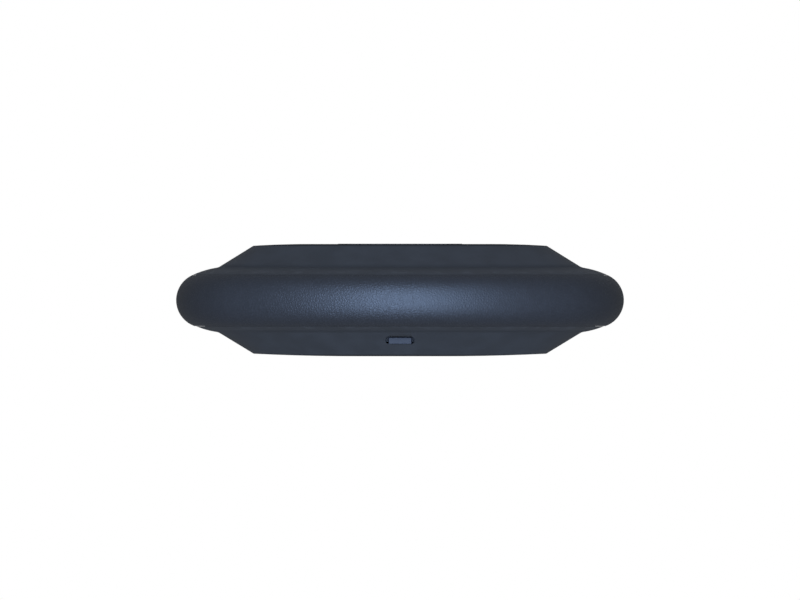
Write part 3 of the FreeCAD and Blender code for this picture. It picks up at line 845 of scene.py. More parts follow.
def eased_copy(node: str, width: float, steps: int = 2) -> bpy.types.Object:
    """A copy of a frame node's shape with rounded edges.

    Args:
        node: the frame node.
        width: how far the rounding reaches from each edge, in metres.
        steps: how many facets each rounding has.

    Returns:
        The copy.
    """
    source = frame["nodes"][node].data
    points = [vertex.co for vertex in source.vertices]
    faces = [polygon.vertices for polygon in source.polygons]
    piece = new_piece(f"{node}_eased", points, faces)
    work = bmesh.new()
    work.from_mesh(piece.data)
    bmesh.ops.remove_doubles(work, verts=work.verts, dist=0.001 * MM)
    bmesh.ops.dissolve_limit(work, angle_limit=math.radians(0.8), verts=work.verts, edges=work.edges)
    bmesh.ops.recalc_face_normals(work, faces=work.faces)
    work.to_mesh(piece.data)
    work.free()
    ease(piece, width, steps)
    smooth(piece)
    return piece


@dataclass(frozen=True)
class Corner:
    """A point of a section. Its soft is how far from it the outline starts to round."""

    inset: float
    height: float
    soft: float = 0.0


def softened(corners: Sequence[Corner], closed: bool, steps: int = 4) -> list[Range]:
    """Rounds the soft corners of a section.

    Args:
        corners: the section's corners in order.
        closed: whether the last joins the first.
        steps: how many runs each rounding has.

    Returns:
        The outline's points as inset and height.
    """
    outline: list[Range] = []
    count = len(corners)
    for number, corner in enumerate(corners):
        middle = Vector((corner.inset, corner.height))
        inside = closed or 0 < number < count - 1
        if corner.soft <= 0 or not inside:
            outline.append(tuple(middle))
            continue
        before, after = corners[number - 1], corners[(number + 1) % count]
        back = Vector((before.inset, before.height)) - middle
        ahead = Vector((after.inset, after.height)) - middle
        start = middle + back.normalized() * corner.soft
        end = middle + ahead.normalized() * corner.soft
        for step in range(steps + 1):
            t = step / steps
            outline.append(tuple(start * (1 - t) ** 2 + middle * (2 * t * (1 - t)) + end * t**2))
    return outline


def bow(start: Corner, middle: Corner, end: Corner, shares: Iterable[float]) -> list[Corner]:
    """Points on the smooth bow through three corners.

    Args:
        start: where the bow starts.
        middle: a corner that it passes through.
        end: where it ends.
        shares: how far along from start to end each point is.

    Returns:
        The points.
    """
    run = end.inset - start.inset
    half = (middle.inset - start.inset) / run
    lift = (middle.height - start.height - half * (end.height - start.height)) / (half * (half - 1))
    points = []
    for share in shares:
        height = start.height + share * (end.height - start.height) + lift * share * (share - 1)
        points.append(Corner(start.inset + share * run, height))
    return points


@dataclass(frozen=True)
class Station:
    """One upright cutting plane across the rim of the case."""

    centre: Vector
    radius: float
    heading: Vector

    def at(self, inset: float, height: float) -> Vector:
        """The point at an inset and a height in this plane."""
        out = self.centre + self.heading * (self.radius - inset)
        return Vector((out.x, out.y, height))


@dataclass(frozen=True)
class Oval:
    """The case's widest outline: an oval of four tangent arcs."""

    half_width: float = 47.8 * MM
    half_depth: float = 32.0 * MM
    end_radius: float = 25.0 * MM
    long_steps: int = 76
    end_steps: int = 50

    def stations(self) -> list[Station]:
        """Lays cutting planes all the way round, from the right-hand end of the back.

        Returns:
            The planes in order.
        """
        end_centre = self.half_width - self.end_radius
        rise = self.half_depth - self.end_radius
        long_radius = (end_centre**2 + self.half_depth**2 - self.end_radius**2) / (2 * rise)
        long_centre = long_radius - self.half_depth
        half_long = math.atan2(end_centre, long_centre)
        quarter = math.pi / 2
        long_arc = (long_radius, 2 * half_long, self.long_steps)
        end_arc = (self.end_radius, 2 * (quarter - half_long), self.end_steps)
        arcs = (
            (Vector((0, -long_centre, 0)), quarter - half_long, *long_arc),
            (Vector((-end_centre, 0, 0)), quarter + half_long, *end_arc),
            (Vector((0, long_centre, 0)), 3 * quarter - half_long, *long_arc),
            (Vector((end_centre, 0, 0)), 3 * quarter + half_long, *end_arc),
        )
        stations = []
        for centre, first, radius, sweep, steps in arcs:
            for step in range(steps):
                angle = first + sweep * step / steps
                stations.append(Station(centre, radius, Vector((math.cos(angle), math.sin(angle), 0))))
        return stations


def swept(
    name: str, rows: Sequence[Sequence[Vector]], poles: Sequence[Vector] = ()
) -> bpy.types.Object:
    """Joins matching sections round a closed path into one skin.

    Args:
        name: the piece's name.
        rows: one section of points per station, all the same length.
        poles: none where each section is a closed loop, or the two points that close the skin at
            the sections' first and last points.

    Returns:
        The piece.
    """
    count, length = len(rows), len(rows[0])
    points = [point for row in rows for point in row] + list(poles)
    faces = []
    for station in range(count):
        here, there = station * length, (station + 1) % count * length
        for step in range(length - 1 if poles else length):
            ahead = (step + 1) % length
            faces.append((here + step, here + ahead, there + ahead, there + step))
        if poles:
            faces.append((count * length, here, there))
            faces.append((count * length + 1, there + length - 1, here + length - 1))
    return new_piece(name, points, faces)


def turned(name: str, centre: Vector, profile: Sequence[Range], steps: int = 48) -> bpy.types.Object:
    """A round piece turned about an upright axis.

    Args:
        name: the piece's name.
        centre: a point of the axis; its height is added to the profile's.
        profile: radius and height of each point, from the first pole to the last, both on the axis.
        steps: how many facets go round.

    Returns:
        The piece.
    """
    rows = []
    for step in range(steps):
        angle = 2 * math.pi * step / steps
        heading = Vector((math.cos(angle), math.sin(angle), 0))
        rows.append([centre + heading * radius + Vector((0, 0, height)) for radius, height in profile[1:-1]])
    poles = [centre + Vector((0, 0, profile[0][1])), centre + Vector((0, 0, profile[-1][1]))]
    return swept(name, rows, poles)


def prism(outline: Sequence[Vector], along: Vector) -> bpy.types.Object:
    """A tool for cutting and joining: a flat outline drawn out.

    Args:
        outline: its corners in order.
        along: how far and which way it is drawn out.

    Returns:
        The tool.
    """
    count = len(outline)
    points = list(outline) + [point + along for point in outline]
    faces = [tuple(range(count)), tuple(range(count, 2 * count))]
    faces += [(i, (i + 1) % count, count + (i + 1) % count, count + i) for i in range(count)]
    return new_piece("tool", points, faces)


def block(x_range: Range, y_range: Range, z_range: Range) -> bpy.types.Object:
    """A rectangular tool.

    Args:
        x_range: where it starts and ends along X.
        y_range: where it starts and ends along Y.
        z_range: where it starts and ends along Z.

    Returns:
        The tool.
    """
    (x0, x1), (y0, y1), (z0, z1) = x_range, y_range, z_range
    outline = [Vector(point) for point in ((x0, y0, z0), (x1, y0, z0), (x1, y1, z0), (x0, y1, z0))]
    return prism(outline, Vector((0, 0, z1 - z0)))


def slot_outline(centre: Vector, across: Vector, up: Vector, size: Range, steps: int = 14) -> list[Vector]:
    """A flat slot shape: two round ends joined by straight sides.

    Args:
        centre: the middle of the slot.
        across: unit vector along the slot.
        up: unit vector across its straight sides.
        size: its length and its width, which are the same for a circle.
        steps: how many runs each round end has.

    Returns:
        The outline's points.
    """
    radius = size[1] / 2
    reach = size[0] / 2 - radius
    outline = []
    for side, first in ((1, -math.pi / 2), (-1, math.pi / 2)):
        for step in range(steps + 1 if reach > 0 else steps):
            angle = first + math.pi * step / steps
            shift = across * (side * reach + radius * math.cos(angle)) + up * (radius * math.sin(angle))
            outline.append(centre + shift)
    return outline


X_AXIS = Vector((1, 0, 0))
Y_AXIS = Vector((0, 1, 0))
Z_AXIS = Vector((0, 0, 1))


# ---------------------------------------------------------------- the outer skin
@dataclass(frozen=True)
class Skin:
    """The section of the case's outside, which the covers and the belt share."""

    waist: float = 11.97 * MM
    belt_radius: float = 5.87 * MM
    belt_sweep: float = 65.0
    shoulder_radius: float = 20.3 * MM
    seam: float = 17.34 * MM
    seam_gap: float = 0.03 * MM
    belt_low: float = 6.43 * MM
    lid_crease: Range = (9.07 * MM, 18.99 * MM)
    lid_slope: float = 0.6194
    base_crease: Range = (8.99 * MM, 5.13 * MM)
    base_slope: float = 0.6075
    top: float = 23.95 * MM
    top_flat: float = 20.0 * MM
    top_crown: float = 172.0 * MM
    bottom_flat: float = 10.0 * MM
    bottom_crown: float = 425.0 * MM
    wall: float = 1.4 * MM
    crease_soft: float = 0.42 * MM
    edge_soft: float = 0.09 * MM
    lip_soft: float = 0.08 * MM

    @property
    def lid_low(self) -> float:
        """Height of the lid's lip."""
        return self.seam + self.seam_gap / 2

    @property
    def belt_top(self) -> float:
        """Height of the belt's rim."""
        return self.seam - self.seam_gap / 2

    def belt(self, degrees: float) -> Corner:
        """The point of the tight arc at an angle above the waist."""
        turn = math.radians(degrees)
        return Corner(self.belt_radius * (1 - math.cos(turn)), self.waist + self.belt_radius * math.sin(turn))

    def shoulder(self, height: float, soft: float = 0.0) -> Corner:
        """The point of the slack arc, which mirrors about the waist.

        Args:
            height: the point's height.
            soft: how far from it the outline starts to round.

        Returns:
            The point.
        """
        turn = math.radians(self.belt_sweep)
        start = self.belt(self.belt_sweep)
        centre = start.inset + self.shoulder_radius * math.cos(turn)
        rise = abs(height - self.waist) - (start.height - self.waist - self.shoulder_radius * math.sin(turn))
        return Corner(centre - math.sqrt(self.shoulder_radius**2 - rise**2), height, soft)

    def crown(self, point: Vector, upper: bool) -> float:
        """Height of the gently crowned top or bottom.

        Args:
            point: where it is read; its own height doesn't matter.
            upper: whether it is the top.

        Returns:
            The height.
        """
        flat, radius = (self.top_flat, self.top_crown) if upper else (self.bottom_flat, self.bottom_crown)
        reach = max(0.0, math.hypot(point.x, point.y) - flat)
        fall = radius - math.sqrt(radius**2 - reach**2)
        return self.top - fall if upper else fall

    def rim(self, station: Station, upper: bool) -> Corner:
        """Where the straight slope meets the crowned top or bottom.

        Args:
            station: the cutting plane.
            upper: whether it is the lid.

        Returns:
            The corner.
        """
        crease, slope = (self.lid_crease, self.lid_slope) if upper else (self.base_crease, self.base_slope)
        inset = crease[0] + 7.5 * MM
        for _ in range(12):
            inset = crease[0] + abs(self.crown(station.at(inset, 0), upper) - crease[1]) / slope
        return Corner(inset, self.crown(station.at(inset, 0), upper), self.edge_soft)

    def within(self, height: float, upper: bool, gap: float = 0.0) -> float:
        """Inset at a height of the cover's inner face, or of a face at a gap inside it.

        Args:
            height: the height.
            upper: whether it is the lid.
            gap: how far inside the inner face.

        Returns:
            The inset.
        """
        depth = self.wall + gap
        if upper:
            level = height + depth * math.hypot(1, self.lid_slope)
            return self.lid_crease[0] + (level - self.lid_crease[1]) / self.lid_slope
        level = height - depth * math.hypot(1, self.base_slope)
        return self.base_crease[0] + (self.base_crease[1] - level) / self.base_slope


@dataclass
class Cover:
    """What the lid cover and the bottom cover share: a dished shell that closes at both middles."""

    skin: Skin
    oval: Oval
    plate_inset: float = 17.9 * MM
    ring_shares: tuple[float, ...] = (0.15, 0.3, 0.45, 0.6, 0.75, 0.9)

    def shell(self, name: str, upper: bool, lip: Sequence[Corner], inner_height: float) -> bpy.types.Object:
        """Sweeps one cover.

        Args:
            name: the piece's name.
            upper: whether it is the lid.
            lip: the section from just past the crease round the lip to the inner face.
            inner_height: height of the inner roof or floor.

        Returns:
            The cover, with no holes in it yet.
        """
        crease = self.skin.lid_crease if upper else self.skin.base_crease
        rows = []
        for station in self.oval.stations():
            edge = self.skin.rim(station, upper)
            middle = station.at(self.plate_inset, 0)
            outside = [middle * share for share in self.ring_shares]
            row = [Vector((p.x, p.y, self.skin.crown(p, upper))) for p in outside]
            run = self.plate_inset - edge.inset
            land = []
            for share in (0.0, 0.4, 0.75):
                inset = self.plate_inset - run * share
                land.append(Corner(inset, self.skin.crown(station.at(inset, 0), upper)))
            slope = [
                Corner(edge.inset + (crease[0] - edge.inset) * s, edge.height + (crease[1] - edge.height) * s)
                for s in (0.2, 0.5, 0.8)
            ]
            corners = [*land, edge, *slope, Corner(*crease, self.skin.crease_soft), *lip]
            row += [station.at(*point) for point in softened(corners, closed=False)]
            row += [Vector((p.x, p.y, inner_height)) for p in [middle] + outside[::-1]]
            rows.append(row)
        poles = [Vector((0, 0, self.skin.crown(Vector(), upper))), Vector((0, 0, inner_height))]
        return swept(name, rows, poles)

    def dish(self, name: str, edges: Sequence[Corner], heights: Range) -> bpy.types.Object:
        """Sweeps a dish with two level faces.

        Args:
            name: the piece's name.
            edges: the section between the two faces.
            heights: heights of the first and the second face.

        Returns:
            The dish.
        """
        corners = [Corner(self.plate_inset, heights[0]), *edges, Corner(self.plate_inset, heights[1])]
        section = softened(corners, closed=False)
        rows = []
        for station in self.oval.stations():
            rings = [station.at(self.plate_inset, 0) * share for share in self.ring_shares]
            row = [Vector((p.x, p.y, heights[0])) for p in rings]
            row += [station.at(*point) for point in section]
            row += [Vector((p.x, p.y, heights[1])) for p in rings[::-1]]
            rows.append(row)
        return swept(name, rows, [Vector((0, 0, height)) for height in heights])


@dataclass
class LidAssembly:
    """The upper cover with its nameplate, liner, pads and magnet."""

    cover: Cover
    roof: float = 22.5 * MM
    strap_half: float = 6.6 * MM
    strap_room: tuple[Range, Range] = ((20.9 * MM, 31.0 * MM), (17.0 * MM, 18.5 * MM))
    strap_notch: tuple[Range, Range] = ((22.95 * MM, 31.0 * MM), (17.0 * MM, 20.0 * MM))
    boss_radius: float = 1.5 * MM
    boss_height: float = 2.2 * MM
    lip_shares: tuple[float, ...] = (0.18, 0.35, 0.5, 0.65, 0.8, 0.9)
    lip_inset: float = 6.0 * MM
    seat_cut: float = 1.0 * MM
    eased: tuple[tuple[str, float], ...] = (
        ("nameplate", 0.10 * MM),
        ("lid_pads", 0.25 * MM),
        ("lid_magnet", 0.12 * MM),
    )
    liner_heights: tuple[float, float, float] = (17.6 * MM, 21.2 * MM, 22.2 * MM)
    liner_gap: float = 0.18 * MM
    liner_wall: float = 0.95 * MM
    liner_softs: tuple[float, float, float] = (0.2 * MM, 0.25 * MM, 0.42 * MM)
    liner_ease: float = 0.12 * MM
    liner_strap: Box = ((-6.8 * MM, 6.8 * MM), (16.2 * MM, 31.0 * MM), (16.0 * MM, 21.3 * MM))
    magnet_holder: Box = ((-6.8 * MM, 6.8 * MM), (-20.0 * MM, -16.4 * MM), (17.6 * MM, 19.4 * MM))

    def liner(self, shop: Paintshop) -> None:
        """Makes and dresses the liner: a dish with a holder for the magnet and room for the hinge.

        Args:
            shop: where the finishes come from.
        """
        low, roof, top = self.liner_heights

        def edge(height: float, gap: float, soft: float) -> Corner:
            """A point of the liner's outer or inner slope."""
            return Corner(self.cover.skin.within(height, True, gap), height, soft)

        deep = self.liner_gap + self.liner_wall
        outer_soft, lip_soft, roof_soft = self.liner_softs
        outer = [edge(top, self.liner_gap, outer_soft), edge(low, self.liner_gap, outer_soft)]
        inner = [edge(low, deep, lip_soft), edge(roof, deep, roof_soft)]
        liner = self.cover.dish("liner_dish", [*outer, *inner], (top, roof))
        holder = block(*self.magnet_holder)
        combine(holder, [self.cover.dish("envelope", outer, (top, low))], "INTERSECT")
        combine(liner, [holder], "UNION")
        magnet_low, magnet_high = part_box("lid_magnet")
        magnet = [(magnet_low[axis], magnet_high[axis]) for axis in range(3)]
        combine(liner, [block(*self.liner_strap), block(*magnet)])
        ease(liner, self.liner_ease, limit=60.0)
        smooth(liner)
        shop.dress(liner, "lid_liner")

    def build(self, shop: Paintshop, hinge: "Hinge") -> None:
        """Makes and dresses the lid's pieces.

        Args:
            shop: where the finishes come from.
            hinge: the hinge that the cover leaves room for.
        """
        skin = self.cover.skin
        lip = [
            *(skin.shoulder(skin.lid_crease[1] + (skin.lid_low - skin.lid_crease[1]) * share)
              for share in self.lip_shares),
            skin.shoulder(skin.lid_low, skin.lip_soft),
            Corner(self.lip_inset, skin.lid_low),
            Corner(skin.within(skin.lid_low, True), skin.lid_low),
            Corner(skin.within(self.roof, True), self.roof),
        ]
        shell = self.cover.shell("lid_shell", True, lip, self.roof)
        screws = hinge.screw_places("lid_leaf_screws")
        leaf_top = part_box("lid_hinge_leaf")[1].z
        boss_size = (2 * self.boss_radius,) * 2
        rings = [slot_outline(Vector((x, y, leaf_top)), X_AXIS, Y_AXIS, boss_size) for x, y in screws]
        bosses = [prism(ring, Z_AXIS * self.boss_height) for ring in rings]
        combine(shell, bosses, "UNION")
        strap = (-self.strap_half, self.strap_half)
        plate_low, plate_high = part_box("nameplate")
        seat_centre = Vector((0, 0, plate_low.z))
        seat_size = (plate_high.x - plate_low.x, plate_high.y - plate_low.y)
        combine(shell, [
            block(strap, *self.strap_room),
            block(strap, *self.strap_notch),
            hinge.notch(),
            prism(slot_outline(seat_centre, X_AXIS, Y_AXIS, seat_size, FINE_STEPS), Z_AXIS * self.seat_cut),
        ])
        smooth(shell)
        shop.dress(shell, "lid_cover")
        self.liner(shop)
        for node, width in self.eased:
            shop.dress(eased_copy(node, width), node)


@dataclass
class Belt:
    """The rounded belt round the base, with the soft ring in its rim."""

    skin: Skin
    oval: Oval
    rim_inset: float = 5.5 * MM
    ledge: tuple[Range, Range] = ((6.9 * MM, 15.4 * MM), (6.9 * MM, 14.4 * MM))
    sill: Range = (6.0 * MM, 8.3 * MM)
    rim_softs: Range = (0.08 * MM, 0.12 * MM)
    block_size: Box = ((6.2 * MM, 10.6 * MM), (22.8 * MM, 26.2 * MM), (12.6 * MM, 15.4 * MM))
    port_clearance: float = 0.2 * MM
    port_cut: Range = (29.0 * MM, 4.0 * MM)
    gasket_insets: Range = (4.05 * MM, 4.95 * MM)
    gasket_play: float = 0.02 * MM
    gasket_gap: Box = ((-11.0 * MM, 11.0 * MM), (20.0 * MM, 33.0 * MM), (16.0 * MM, 18.0 * MM))
    bead_soft: float = 0.32 * MM
    arc_steps: int = 30
    inner_steps: int = 8

    def section(self) -> list[Range]:
        """The belt's closed section.

        Returns:
            Its points as inset and height.
        """
        skin = self.skin
        top_turn = math.degrees(math.asin((skin.belt_top - skin.waist) / skin.belt_radius))
        lower = skin.belt(-skin.belt_sweep)
        inner_radius = skin.belt_radius - skin.wall
        groove_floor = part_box("rim_gasket")[0].z
        ledge_top, ledge_low = self.ledge

        def inner(height: float) -> Corner:
            """The point of the inner arc at a height."""
            reach = math.sqrt(inner_radius**2 - (height - skin.waist) ** 2)
            return Corner(skin.belt_radius - reach, height)

        arc = [skin.belt(-skin.belt_sweep + (skin.belt_sweep + top_turn) * step / self.arc_steps)
               for step in range(self.arc_steps)]
        inside = [inner(ledge_low[1] + (self.sill[1] - ledge_low[1]) * step / self.inner_steps)
                  for step in range(self.inner_steps + 1)]
        top_inset = skin.belt(top_turn).inset
        corners = [
            skin.shoulder(skin.belt_low, skin.lip_soft),
            skin.shoulder(skin.belt_low + (lower.height - skin.belt_low) * 0.5),
            *arc,
            Corner(top_inset, skin.belt_top, self.rim_softs[0]),
            Corner(self.gasket_insets[0], skin.belt_top),
            Corner(self.gasket_insets[0], groove_floor),
            Corner(self.gasket_insets[1], groove_floor),
            Corner(self.gasket_insets[1], skin.belt_top),
            Corner(self.rim_inset, skin.belt_top, self.rim_softs[1]),
            Corner(self.rim_inset, ledge_top[1]),
            Corner(*ledge_top),
            Corner(*ledge_low),
            *inside,
            Corner(*self.sill),
            Corner(self.sill[0], skin.belt_low),
        ]
        return softened(corners, closed=True)

    def build(self, shop: Paintshop, hinge: "Hinge") -> None:
        """Makes and dresses the belt and its gasket.

        Args:
            shop: where the finishes come from.
            hinge: the hinge that the belt leaves room for.
        """
        section = self.section()
        belt = swept("belt", [[s.at(*point) for point in section] for s in self.oval.stations()])
        (near, far), y_range, z_range = self.block_size
        combine(belt, [block(x_range, y_range, z_range) for x_range in ((-far, -near), (near, far))], "UNION")
        port_low, port_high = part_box("usb_shell")
        port_centre = (port_low + port_high) / 2
        port_size = (port_high.x - port_low.x + 2 * self.port_clearance,
                     port_high.z - port_low.z + 2 * self.port_clearance)
        start, depth = self.port_cut
        mouth = slot_outline(Vector((0, start, port_centre.z)), X_AXIS, Z_AXIS, port_size)
        port = prism(mouth, Y_AXIS * depth)
        combine(belt, [hinge.land_gap(), hinge.notch(), port])
        smooth(belt)
        shop.dress(belt, "mid_frame")
        self.gasket(shop)

    def gasket(self, shop: Paintshop) -> None:
        """Makes and dresses the soft ring, which stops short of the hinge.

        Args:
            shop: where the finishes come from.
        """
        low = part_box("rim_gasket")[0]
        crest = self.skin.lid_low
        outer, inner = self.gasket_insets[0] + self.gasket_play, self.gasket_insets[1] - self.gasket_play
        section = softened([
            Corner(outer, low.z),
            Corner(inner, low.z),
            Corner(inner, crest, self.bead_soft),
            Corner(outer, crest, self.bead_soft),
        ], closed=True)
        ring = swept("rim_bead", [[s.at(*point) for point in section] for s in self.oval.stations()])
        combine(ring, [block(*self.gasket_gap)])
        smooth(ring)
        shop.dress(ring, "rim_gasket")


@dataclass
class Underside:
    """The bottom cover with its window, light guide and foot."""

    cover: Cover
    flange: Corner = Corner(4.25 * MM, 6.40 * MM)
    flange_middle: Corner = Corner(6.58 * MM, 5.60 * MM)
    lip_insets: Range = (6.1 * MM, 7.1 * MM)
    lip_top: float = 8.2 * MM
    lip_root: float = 7.2 * MM
    root_height: float = 6.33 * MM
    floor: float = 1.9 * MM
    bow_shares: tuple[float, ...] = (0.90, 0.78, 0.62, 0.46, 0.3, 0.15)
    flange_soft: float = 0.08 * MM
    lip_soft: float = 0.15 * MM
    foot_play: float = 0.06 * MM
    foot_cut: float = 1.0 * MM
    window_cut: Range = (-24.0 * MM, 9.0 * MM)
    window_size: Range = (6.3 * MM, 1.64 * MM)
    window_height: float = 3.405 * MM
    ridges: int = 6
    groove_depth: float = 0.22 * MM
    groove_places: tuple[float, float, float, float] = (0.0, 0.18, 0.40, 0.58)
    groove_soft: float = 0.08 * MM
    sole_soft: float = 0.2 * MM

    def build(self, shop: Paintshop) -> None:
        """Makes and dresses the pieces under the belt.

        Args:
            shop: where the finishes come from.
        """
        skin = self.cover.skin
        crease = Corner(*skin.base_crease)
        lip = [
            *bow(self.flange, self.flange_middle, crease, self.bow_shares),
            Corner(self.flange.inset, self.flange.height, self.flange_soft),
            Corner(self.lip_insets[0], self.flange.height),
            Corner(self.lip_insets[0], self.lip_top, self.lip_soft),
            Corner(self.lip_insets[1], self.lip_top, self.lip_soft),
            Corner(self.lip_insets[1], self.lip_root),
            Corner(skin.within(self.root_height, False), self.root_height),
            Corner(skin.within(self.floor, False), self.floor),
        ]
        shell = self.cover.shell("bottom_shell", False, lip, self.floor)
        foot_low, foot_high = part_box("foot_pad")
        foot_radius = (foot_high.x - foot_low.x) / 2
        start, depth = self.window_cut
        window = slot_outline(Vector((0, start, self.window_height)), X_AXIS, Z_AXIS, self.window_size)
        below = Vector((0, 0, -self.foot_cut))
        recess = slot_outline(below, X_AXIS, Y_AXIS, (2 * foot_radius,) * 2, 2 * FINE_STEPS)
        combine(shell, [prism(window, Y_AXIS * depth), prism(recess, Z_AXIS * (foot_high.z + self.foot_cut))])
        smooth(shell)
        shop.dress(shell, "bottom_cover")
        shop.dress(eased_copy("light_guide", 0.12 * MM, 3), "light_guide")
        self.foot(shop, foot_radius - self.foot_play, foot_high.z)

    def foot(self, shop: Paintshop, radius: float, height: float) -> None:
        """Makes and dresses the round foot, with ridges on its sole.

        Args:
            shop: where the finish comes from.
            radius: its outer radius.
            height: its thickness.
        """
        profile = [Corner(0.0, 0.0)]
        pitch = radius / (self.ridges + 0.5)
        levels = (0.0, self.groove_depth, self.groove_depth, 0.0)
        for ridge in range(self.ridges):
            start = (ridge + 0.75) * pitch
            profile += [Corner(start + place * pitch, level, self.groove_soft)
                        for place, level in zip(self.groove_places, levels)]
        profile += [Corner(radius, 0.0, self.sole_soft), Corner(radius, height), Corner(0.0, height)]
        sole = turned("foot_sole", Vector(), softened(profile, closed=False), 4 * FINE_STEPS)
        smooth(sole)
        shop.dress(sole, "foot_pad")


@dataclass
class Hinge:
    """The two leaves, the pin and the spring, with the screws that hold the leaves."""

    half: float = 10.7 * MM
    groove: float = 1.8 * MM
    land: tuple[Range, Range] = ((24.5 * MM, 31.2 * MM), (15.4 * MM, 18.0 * MM))
    screw_nodes: tuple[str, ...] = ("lid_leaf_screws", "base_leaf_screws")
    eased: tuple[tuple[str, float], ...] = (("lid_hinge_leaf", 0.10 * MM), ("base_hinge_leaf", 0.10 * MM))

    def notch(self) -> bpy.types.Object:
        """A tool for the round room that the knuckles need.

        Returns:
            The tool.
        """
        low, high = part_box("hinge_pin")
        centre = (low + high) / 2
        centre.x = -self.half
        circle = slot_outline(centre, Y_AXIS, Z_AXIS, (2 * self.groove,) * 2, FINE_STEPS)
        return prism(circle, X_AXIS * (2 * self.half))

    def land_gap(self) -> bpy.types.Object:
        """A tool for the gap in the belt's rim behind the hinge."""
        return block((-self.half, self.half), *self.land)

    def screw_places(self, node: str) -> list[Range]:
        """Where a pair of screws stands, from the box round it.

        Args:
            node: the pair's frame node.

        Returns:
            The x and y of each.
        """
        low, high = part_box(node)
        radius = (high.y - low.y) / 2
        return [(x, low.y + radius) for x in (low.x + radius, high.x - radius)]

    def build(self, shop: Paintshop) -> None:
        """Makes and dresses the leaves and their screws.

        Args:
            shop: where the finishes come from.
        """
        for node, width in self.eased:
            shop.dress(eased_copy(node, width), node)
        for node, head_up in zip(self.screw_nodes, (False, True)):
            low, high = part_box(node)
            for side, (x, y) in zip(("left", "right"), self.screw_places(node)):
                screw = Screw(head_up, low.z, high.z, (high.y - low.y) / 2)
                shop.dress(screw.make(f"{node}_{side}", x, y), node)


@dataclass(frozen=True)
class Screw:
    """A small screw with a crowned head and a cross recess."""

    head_up: bool
    low: float
    high: float
    head_radius: float
    shank_radius: float = 0.58 * MM
    head_height: float = 0.5 * MM
    recess_depth: float = 0.3 * MM
    recess_width: float = 0.3 * MM
    recess_share: float = 0.62
    crown: float = 0.12 * MM
    rise: float = 0.06 * MM
    thread_pitch: float = 0.35 * MM
    thread_depth: float = 0.09 * MM
    neck: float = 0.3 * MM
    tip: Range = (0.2 * MM, 0.15 * MM)
    tip_step: float = 0.05 * MM

    def make(self, name: str, x: float, y: float) -> bpy.types.Object:
        """Turns the screw about its own axis.

        Args:
            name: the piece's name.
            x: where its axis stands.
            y: where its axis stands.

        Returns:
            The screw.
        """
        length = self.high - self.low
        profile = [
            Corner(0.0, 0.0),
            Corner(0.55 * self.head_radius, self.rise / 3),
            Corner(self.head_radius - self.crown, self.rise, self.rise),
            Corner(self.head_radius, self.crown + self.rise, self.rise),
            Corner(self.head_radius, self.head_height),
            Corner(self.shank_radius, self.head_height),
        ]
        depth = self.head_height + self.neck
        while depth + self.thread_pitch < length - self.tip[0]:
            profile.append(Corner(self.shank_radius, depth))
            profile.append(Corner(self.shank_radius - self.thread_depth, depth + self.thread_pitch / 2))
            depth += self.thread_pitch
        profile += [
            Corner(self.shank_radius - self.tip_step, length - self.tip[1]),
            Corner(self.tip[0], length),
            Corner(0.0, length),
        ]
        points = softened(profile, closed=False, steps=3)
        if self.head_up:
            points = [(radius, length - depth) for radius, depth in points]
        screw = turned(name, Vector((x, y, self.low)), points, 32)
        face = self.high if self.head_up else self.low
        reach = self.recess_share * self.head_radius
        half = self.recess_width / 2
        cut = (-self.recess_depth, MM) if self.head_up else (-MM, self.recess_depth)
        z_range = (face + cut[0], face + cut[1])
        combine(screw, [
            block((x - reach, x + reach), (y - half, y + half), z_range),
            block((x - half, x + half), (y - reach, y + reach), z_range),
        ])
        smooth(screw)
        return screw


@dataclass(frozen=True)
class Spring:
    """A small coil spring with closed ends."""

    radius: float = 0.5 * MM
    wire: float = 0.12 * MM
    turns: float = 4.0
    end_turns: float = 0.7
    end_pitch: float = 0.25 * MM
    steps: int = 30
    facets: int = 10

    def rise(self, turn: float, height: float) -> float:
        """How far the wire has climbed after some turns.

        Args:
            turn: how many turns it has made.
            height: how far it climbs in all.

        Returns:
            The height of the wire's centre above its start.
        """
        left = self.turns - turn
        if min(turn, left) < self.end_turns:
            return self.end_pitch * turn if turn < left else height - self.end_pitch * left
        first = self.end_pitch * self.end_turns
        share = (turn - self.end_turns) / (self.turns - 2 * self.end_turns)
        return first + share * (height - 2 * first)

    def make(self, name: str, x: float, y: float, z_range: Range) -> bpy.types.Object:
        """Winds the spring about its own axis.

        Args:
            name: the piece's name.
            x: where its axis stands.
            y: where its axis stands.
            z_range: its lowest and highest points.

        Returns:
            The spring.
        """
        height = z_range[1] - z_range[0] - 2 * self.wire
        count = round(self.turns * self.steps)
        points, faces = [], []
        for step in range(count + 1):
            angle = 2 * math.pi * step / self.steps
            out = Vector((math.cos(angle), math.sin(angle), 0))
            climb = z_range[0] + self.wire + self.rise(step / self.steps, height)
            middle = Vector((x, y, climb)) + out * self.radius
            for facet in range(self.facets):
                around = 2 * math.pi * facet / self.facets
                points.append(middle + (out * math.cos(around) + Z_AXIS * math.sin(around)) * self.wire)
        for step in range(count):
            here, there = step * self.facets, (step + 1) * self.facets
            for facet in range(self.facets):
                ahead = (facet + 1) % self.facets
                faces.append((here + facet, here + ahead, there + ahead, there + facet))
        faces.append(tuple(range(self.facets)))
        faces.append(tuple(range(count * self.facets, (count + 1) * self.facets)))
        wound = new_piece(name, points, faces)
        smooth(wound, 50.0)
        return wound


